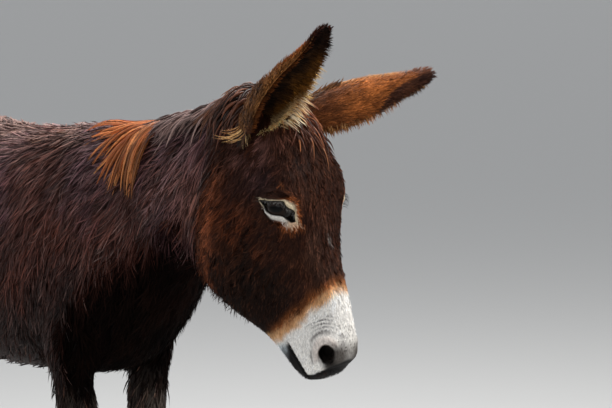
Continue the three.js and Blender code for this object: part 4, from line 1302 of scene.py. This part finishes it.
for side in EARS:
    ear_skin(side)
    ear_coat(side, False)
    ear_coat(side, True)
    if side == "right":
        front = ((0.018, 0.032), "7d5526", "dcb974", 9, 0.002)
        base = (225, (0.022, 0.050), "d9a868", "fff0d2")
        foot, root, root_count = (0.024, 0.046), 0.3, 240
        back = (200, (0.014, 0.023), (1.0, -0.4, -0.32))
    else:
        front = ((0.008, 0.026), "71431f", "b87a40", 6, 0.0032)
        base = (110, (0.012, 0.026), "8a5a2a", "cb9658")
        foot, root, root_count = (0.020, 0.034), 0.06, 60
        back = (120, (0.009, 0.015), (1.0, -0.3, -0.25))
    length, dark, light, strands, radius = front
    fringe(f"fringe_{side}_front", side, (0.02, 0.66), (0.0, 0.1), 190, length, (0.25, 1.0, 0.3), dark, light,
           (0.1, 0.9, 0.1, 0.6), 0.5, strands, radius)
    fringe(f"fringe_{side}_edge", side, (0.1, 0.9), (0.0, 0.06), 150, (0.008, 0.016), (0.6, 0.8, 0.2),
           "5a3517", "a8763c", (0.5, 0.8, 0.0, 0.2), 0.5, 7, 0.0015)
    count, length, dark, light = base
    fringe(f"fringe_{side}_base", side, (-0.04, 0.36), (0.0, 0.2), count, length, (0.15, 1.0, 0.5, 0),
           dark, light, (0.0, 1.0, 0.2, 0.7), 0.85, 10)
    fringe(f"fringe_{side}_foot", side, (-0.1, 0.0), (0.15, 0.8), 70, foot, (-0.4, 0.25, 0.7, 0.5),
           "9a6e3a", "ecca90", (-0.3, 0.2, 0.3, 1.0), 0.85, 8)
    fringe(f"fringe_{side}_rear", side, (0.0, 0.9), (0.93, 1.0), 150, (0.006, 0.012), (0.8, -0.6, 0.3),
           "4a2813", "a9703c", (0.9, -0.3, 0.3), 0.5, 6, 0.0012)
    fringe(f"fur_{side}_foot", side, (-0.08, 0.26), (0.7, 0.97), 170, (0.014, 0.026), (0.9, -0.5, -0.4),
           "3a2013", "9a6638", (1.0, -0.3, -0.3), 0.15, 9, 0.0022)
    fringe(f"fur_{side}_root", side, (-0.06, root), (0.6, 0.97), root_count, (0.020, 0.036),
           (0.95, -0.6, -0.35), "2e1a12", "a06c40", (1.0, 0.05, 0.05), 0.15, 9, 0.0032)
    fringe(f"fur_{side}_skirt", side, (-0.12, -0.03), (0.3, 1.0), 90, (0.024, 0.040), (-0.7, 0.1, 0.2, 0.7),
           "24140e", "5d3a26", (-0.5, 0, -0.2, 1.0), 0.5, 10, 0.003)
    count, length, lean = back
    fringe(f"fur_{side}_back", side, (0.15, 0.6), (0.68, 0.97), count, length, lean, "6a3f20", "b98250",
           (1.0, -0.1, -0.1), 0.15, 8)
    fringe(f"curls_{side}", side, (-0.1, -0.02), (0.6, 1.0), 16, (0.03, 0.075), (-0.5, -0.2, 0.3, 0.7, 0.4),
           "a86c34", "f4cc8c", (0.2, -0.1, 0.2, -0.4, 1.2), 0.7, 10, 0.0019)


# ---------------------------------------------------------------- long hair
def sure(out):
    """Where the grid knows the way out, as a column."""
    return (np.linalg.norm(out, axis=1) > 0.5)[:, None]


def trail(P, aim, length, rise, sway):
    """Paths that follow the skin step by step, and the ways out along them.

    aim(points, share) gives the way, rise(share) the height over the skin.
    """
    n, steps = len(P), len(LONG) - 1
    bend = rng.normal(0, sway, n)[:, None]
    path, outs = np.empty((2, n, steps + 1, 3))
    _, out = COARSE.at(P)
    q = P.copy()
    path[:, 0], outs[:, 0] = P - out * 0.002, out
    for k in range(1, steps + 1):
        s = k / steps
        _, out = COARSE.at(q)
        known = sure(out)
        out = np.where(known, unit(out), outs[:, k - 1])
        d = aim(q, s)
        d = unit(d - out * (d * out).sum(1, keepdims=True) * known)
        d = d + np.cross(out, d) * bend * (2 * s - 0.6)
        q = q + unit(d) * (length / steps)[:, None]
        height, up = COARSE.at(q)
        q = q + np.where(sure(up), unit(up) * np.clip(rise(s) - height, -0.02, 0.02)[:, None], 0)
        path[:, k], outs[:, k] = q, out
    rng.normal(size=n)  # an unused draw, which keeps the later ones as they are
    return path, outs


def crest(low, high, count):
    """Points on the top of the neck between two places along the body."""
    wide = 1.2
    x = rng.uniform(low, high, count)
    y = rng.uniform(-wide, wide, count)
    tops = np.argsort(V[:, 2])[::-1]
    tops = tops[(N[tops, 2] > 0.4) & (np.abs(BASE.by[tops]) < wide + 0.8)]
    gx, gy, gz = in_body(V[tops]).T
    return V[tops][np.argmin((gx - x[:, None]) ** 2 + (gy - y[:, None]) ** 2 - 0.05 * gz, axis=1)]


def hang(name, P, aim, length, rise, strands, radius, width, dark, light, slot, zone, sway, tips=1.2):
    """Pointed locks of long hair over the skin, from their roots P."""
    path, outs = trail(P, aim, length, rise, sway)
    path, across, outs = bundle(path, strands, radius, outs=outs)
    n = len(path)
    tint = np.repeat(shades(len(P), dark, light, 0.2), strands, 0) * rng.uniform(0.75, 1.25, (n, 1))
    width, uv = rng.uniform(*width, n), unwrap_of(path[:, 0], zone)
    ribbons(name, path, across, width, tint * 0.7, tint * tips, uv, HAIR, slot, LONG, outs)


def some(weight, count):
    """A few points of the skin where weight is above 0."""
    P = scatter(weight, 60000)[0].P
    return P[rng.permutation(len(P))[: int(count * THIN)]]


# The mane: soft brown locks that fall to the right all along the crest, reddish behind the ears
MANES = (
    ("mane_locks", 22, 42, 270, "261616", "967c75"),
    ("poll_mane", 40.5, 45.5, 90, "2b160f", "8a5c42"),
)
for name, low, high, count, dark, light in MANES:
    P = crest(low, high, int(count * THIN))
    n = len(P)
    way = rng.normal(-0.55, 0.28, n) - 0.3 * noise(P, 0.04, 91)
    lift = 0.020 * rng.uniform(0.5, 1.25, n)
    length, radius = rng.uniform(0.05, 0.12, n), rng.uniform(0.004, 0.008, n)

    def aim(q, s):
        """First up and to the right, then down over the neck."""
        return np.stack([way, np.full(n, -1.0 if s < 0.4 else -0.3), np.full(n, 0.3 if s < 0.2 else -1.0)], 1)

    hang(name, P, aim, length, lambda s: lift * min(1, 2.6 * s) ** 0.7 + 0.003, 17, radius,
         (0.001, 0.0019), dark, light, "mane", "neck", sway=0.3, tips=1.5)

# Short hairs that stand along the crest
P = crest(12, 44, int(900 * THIN))
n = len(P)
D = unit(np.array([-0.65, -0.15, 0.6]) + 0.35 * rng.normal(size=(n, 3)))
upwards = unit(np.cross(D, [0, 1.0, 0]))
path, across = comb(P, upwards, D, rng.uniform(0.025, 0.042, n), 4, 0.0, roll=1.0, sway=0.2, droop=0.25)
tint = shades(n, "3a221b", "9a6c50")
width = rng.uniform(0.0007, 0.0012, n)
ribbons("crest_hairs", path, across, width, tint * 0.8, tint * 1.4, unwrap_of(P, "neck"), HAIR, "mane")

# Behind and between the ears
P = some(lambda s: ramp(-9, -6, s.hx) * ramp(9, 5, s.hx) * ramp(-14, -9, s.hz) * (np.abs(s.hy) < 13), 190)
n = len(P)
aim = np.stack([np.full(n, -0.25), 0.45 * np.sign(in_head(P)[:, 1]), np.full(n, -1.0)], 1)
aim = aim + rng.normal(0, 0.2, (n, 3))
length, radius = rng.uniform(0.05, 0.09, n), rng.uniform(0.004, 0.008, n)
hang("poll_locks", P, lambda q, s: aim, length, lambda s: 0.004 + 0.018 * min(1, 2 * s), 15, radius,
     (0.0011, 0.0019), "22120c", "6b3d28", "mane", "head", sway=0.25)

# The forelock: longer hair from between the ears down the forehead
P = some(lambda s: ramp(8, 5, np.abs(s.hy)) * ramp(-4, 0, s.hx) * ramp(24, 10, s.hx) * (s.hz > 0), 130)
n = len(P)
fan = rng.normal(0, 0.25, n) + 0.03 * in_head(P)[:, 1]
aim = FACE[:, 0] + fan[:, None] * FACE[:, 1]
lift = rng.uniform(0.003, 0.009, n)
length, radius = rng.uniform(0.03, 0.07, n), rng.uniform(0.0025, 0.0055, n)
hang("forelock", P, lambda q, s: aim, length, lambda s: lift * min(1, 2 * s) + 0.002, 16, radius,
     (0.0009, 0.0016), "2b140c", "7a3e22", "mane", "head", sway=0.2)
P, aim = P[::8], aim[::8]
length = rng.uniform(0.045, 0.075, len(P))
hang("forelock_light", P, lambda q, s: aim, length, lambda s: 0.010 * min(1, 2 * s) + 0.003, 12, 0.0026,
     (0.0008, 0.0013), "85492a", "c07c4c", "ginger", "head", sway=0.12)

# The ginger lock at the mane's end: pointed locks that fan from the crest over the shoulder
FAN_TIPS = np.array([
    [-0.5, -2.7, 99.2], [4.5, -6.4, 95.9], [9.3, -8.1, 93.1],
    [14.7, -9.2, 89.9], [18.8, -9.0, 89.6], [21.9, -8.8, 89.4],
])
LOCKS, STRANDS, POINTS = 70, 36, 9
u = (np.arange(LOCKS) + rng.random(LOCKS)) / LOCKS
knots = np.linspace(0, 1, len(FAN_TIPS))
tip_at = np.stack([curve(u, knots, column) for column in FAN_TIPS.T], 1)
root_at = [18.8 + 3.4 * u + rng.normal(0, 0.5, LOCKS), rng.uniform(-2.0, -0.2, LOCKS), np.full(LOCKS, 99.6)]
root_at = np.stack(root_at, 1)
reach = rng.uniform(0.78, 1.2, LOCKS)[:, None, None]
t = np.linspace(0, 1, POINTS)
path = from_body(root_at[:, None] + (tip_at - root_at)[:, None] * t[:, None] * reach)
arch = rng.uniform(0.008, 0.024, LOCKS)[:, None] * np.sin(np.pi * np.clip(t * 0.9 + 0.03, 0, 1))
lift = arch + 0.013 * (1 - t) ** 2 + 0.002
outs = np.zeros_like(path)
for _ in range(4):
    for k in range(POINTS):
        height, out = COARSE.at(path[:, k])
        path[:, k] += np.where(sure(out), unit(out) * (lift[:, k] - height)[:, None], 0)
        outs[:, k] = np.where(sure(out), unit(out), [0, -0.6, 0.8])
path, across, outs = bundle(path, STRANDS, rng.uniform(0.006, 0.010, LOCKS), gather=2.0, fray=0.07, outs=outs)
n = len(path)
tint = shades(LOCKS, "7f4420", "c48450", 0.2) * (1.45 - 0.55 * u)[:, None]
tint = np.repeat(tint, STRANDS, 0) * rng.uniform(0.5, 1.4, (n, 1))
width = rng.uniform(0.001, 0.0018, n)
profile = np.interp(t, np.linspace(0, 1, len(LONG)), LONG)
lock = ribbons("shoulder_lock_hair", path, across, width, tint * srgb("b08070") ** 0.6, tint * 1.5,
               unwrap_of(path[:, 0], "neck"), HAIR, "ginger", profile, outs)
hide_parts("shoulder_lock")

# The tail's switch
TAIL_LINE = np.array([28, 34, 42, 50, 59, 68.0])
TAIL_MIDDLE = np.array([-92.4, -92.5, -92.5, -92.45, -92.3, -92.15])
TAIL_HALF = np.array([0.8, 2.0, 2.6, 2.45, 1.85, 1.6])
n = int(2500 * THIN)
angle, r = rng.uniform(0, 2 * np.pi, n), np.sqrt(rng.random(n))
top = rng.uniform(50, 67, n)
low = np.clip(top - rng.uniform(14, 30, n), 28.2, None)
wind = rng.normal(0, 0.25, n)
tufted = np.sin(5 * angle + 3 * np.sin(2 * angle))
path = np.empty((n, POINTS, 3))
for k, share in enumerate(np.linspace(0, 1, POINTS)):
    z = top + (low - top) * share
    half = curve(z, TAIL_LINE, TAIL_HALF) * (0.55 + 0.45 * min(1, k / 3)) * r * (1 + 0.22 * share * tufted)
    a = angle + wind * share
    x = curve(z, TAIL_LINE, TAIL_MIDDLE) + half * np.cos(a) * 0.95
    path[:, k] = from_body(np.stack([x, half * np.sin(a), z], 1))
radial = np.stack([np.cos(angle), np.sin(angle), np.zeros(n)], 1)[:, None]
across = unit(np.cross(np.broadcast_to(radial, path.shape), np.gradient(path, axis=1)))
tint = shades(n, "140d0d", "4a3029", 0.4)
width = rng.uniform(0.0024, 0.0044, n)
switch = ribbons("tail_switch_hair", path, across, width, tint, tint * 1.2, unwrap_of(path[:, 0], "tail"),
                 HAIR, "mane", [0.6] + LONG)
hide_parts("tail_switch")

# ---------------------------------------------------------------- hooves
# How far each hoof stands ahead of the top of its leg, in body units
AHEAD = {"foreleg_left": -3, "foreleg_right": 3, "hindleg_left": 3, "hindleg_right": -3}
HOOF_HEIGHT = np.array([0, 3.2, 6.8, 7.57])
# How much wider than its top the hoof is at these heights: in front, behind and at the sides
HOOF_GROWTH = np.array([[1.8, 1.1, 0.3, 0], [0.4, 0.25, 0.15, 0], [0.6, 0.4, 0.2, 0]])


def hoof_at(leg, z, angle, out):
    """Points of a hoof's wall, in body units, at the heights and angles given and this far outside it."""
    fore, hand = LEGS[leg]
    front, back, y = (4.3, -2.2, 7.2) if fore else (-71.6, -78, 8.2)
    ahead, behind, beside = (curve(np.minimum(z, HOOF_HEIGHT[-1]), HOOF_HEIGHT, grow) for grow in HOOF_GROWTH)
    lean = AHEAD[leg] * np.clip(1 - z / 80, 0, 1)
    x0, x1 = front + ahead + lean, back - behind + lean
    x = (x0 + x1) / 2 + ((x0 - x1) / 2 + out) * np.cos(angle)
    return np.stack([x, y * hand + (3.1 + beside + out) * np.sin(angle), z], 1)


def make_hoof(leg):
    """Horn with growth rings and a cleft behind."""
    rows, cols = 54, 64
    z = np.repeat(np.concatenate([[8.6, 8.2], np.linspace(7.9, 0.22, rows - 5), [0.1, 0.03, 0.0]]), cols)
    a = np.tile(np.linspace(0, 2 * np.pi, cols, endpoint=False), rows)
    ridge = 0.045 * np.sin(z * 9.5 + 0.8 * np.sin(z * 2.3)) * ramp(7.6, 6.8, z) * ramp(0.2, 1.2, z)
    shrink = -0.10 * ramp(7.4, 8.2, z) - 0.06 * ramp(0.18, 0.0, z) - 0.5 * ramp(7.9, 8.6, z)
    cleft = 0.22 * bell(a, np.pi, 0.28) * ramp(6, 2, z)
    ripple = 0.012 * np.sin(a * 37) * ramp(7, 5, z)
    P = from_body(hoof_at(leg, z, a, ridge + shrink - cleft + ripple))
    P[:, 2] = np.maximum(P[:, 2], 0)
    grid = np.arange(rows * cols).reshape(rows, cols)
    after = np.roll(grid, -1, 1)
    top, sole = np.full(cols, len(P)), np.full(cols, len(P) + 1)
    P = np.concatenate([P, [P[:cols].mean(0)], [P[-cols:].mean(0)]])
    upper, lower, upper_after, lower_after = (x.ravel() for x in (grid[:-1], grid[1:], after[:-1], after[1:]))
    F = [(upper, lower, lower_after), (upper, lower_after, upper_after)]
    F += [(top, grid[0], after[0]), (sole, after[-1], grid[-1])]
    F = np.concatenate([np.stack(f, 1) for f in F])
    height = in_body(P)[:, 2]
    tint = blend("2c2623", "453c36", 0.6 * ramp(-0.2, 0.8, noise(P * [1, 1, 5], 0.03, 51)))
    tint = dye(tint, "1c1715", ramp(6.6, 7.6, height))
    tint = dye(tint, "5a5046", 0.5 * ramp(1.2, 0.0, height))
    o = make(leg + "_horn", P, F, tint, material=HORN, slot="hoof")
    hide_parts(leg + "_hoof")


def coronet(leg):
    """Hair that falls from the pastern over the top of the hoof."""
    n, points = int(850 * THIN), 5
    angle, start = rng.uniform(0, 2 * np.pi, n), rng.uniform(8.6, 10.2, n)
    drop = rng.uniform(1.4, 3.4, n) * (1 + 0.35 * np.abs(np.sin(angle * 5 + rng.normal(0, 0.3, n))))
    path = np.empty((n, points, 3))
    for k, share in enumerate(np.linspace(0, 1, points)):
        at = start - drop * share
        path[:, k] = from_body(hoof_at(leg, at, angle, 0.16 + 0.1 * share - 0.75 * ramp(7.7, 9.8, at)))
    radial = unit((path - path.mean(0)) * [1, 1, 0])
    across = unit(np.cross(radial, np.gradient(path, axis=1)))
    tint = shades(n, "1a1210", "4a3d34")
    width = rng.uniform(0.0012, 0.0022, n)
    uv = unwrap_of(path[:, 0], leg)
    ribbons(leg + "_coronet_hair", path, across, width, tint * 0.8, tint * 1.3, uv, SHORT, "legs", out=radial)


for leg in LEGS:
    make_hoof(leg)
    coronet(leg)


# ---------------------------------------------------------------- floor, light and camera
def add(name, data, at, away):
    """A light or a camera at a place, which looks against the given way."""
    o = bpy.data.objects.new(name, data)
    o.location = at
    o.rotation_euler = (-away).to_track_quat("-Z", "Y").to_euler()
    bpy.context.scene.collection.objects.link(o)
    return o


def area(name, at, target, size, power, tint=(1, 1, 1)):
    data = bpy.data.lights.new(name, "AREA")
    data.shape = "DISK"
    data.size, data.energy, data.color = size, power, tint
    add(name, data, at, Vector(at) - Vector(target))


def studio():
    corners = np.array([[-400, -400, 0], [400, -400, 0], [400, 400, 0], [-400, 400, 0.0]])
    m = bpy.data.materials.new("floor")
    m.use_nodes = True
    bsdf = m.node_tree.nodes["Principled BSDF"]
    bsdf.inputs["Base Color"].default_value = (0.43, 0.43, 0.425, 1)
    bsdf.inputs["Roughness"].default_value = 0.9
    floor = make("floor", corners, np.array([[0, 1, 2, 3]]), material=m, smooth=False)
    floor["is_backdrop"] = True
    world = bpy.data.worlds.new("studio")
    bpy.context.scene.world = world
    world.use_nodes = True
    background = world.node_tree.nodes["Background"]
    background.inputs["Color"].default_value = (0.95, 0.97, 1.0, 1)
    background.inputs["Strength"].default_value = 0.72
    area("key", (2.4, 2.0, 4.4), (0.5, 0, 0.9), 1.8, 215, (1, 0.97, 0.92))
    area("top", (-0.8, 0.6, 4.0), (0.2, 0, 1), 2.2, 150)
    area("fill", (3.4, -4.2, 1.8), (0.3, 0, 0.8), 2.4, 16, (0.92, 0.96, 1))
    bpy.context.scene.view_settings.view_transform = "Standard"


def camera():
    azimuth, elevation, distance = math.radians(55), math.radians(5.85), 3.7
    level = math.cos(elevation)
    away = Vector((math.sin(azimuth) * level, -math.cos(azimuth) * level, math.sin(elevation)))
    target = Vector((0.5440957, 0.0883610, 1.0228699)) + Vector(SHIFT)
    data = bpy.data.cameras.new("camera")
    data.lens, data.sensor_width = 122.35, 36
    bpy.context.scene.camera = add("camera", data, target + away * distance, away)


studio()
camera()
low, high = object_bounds()
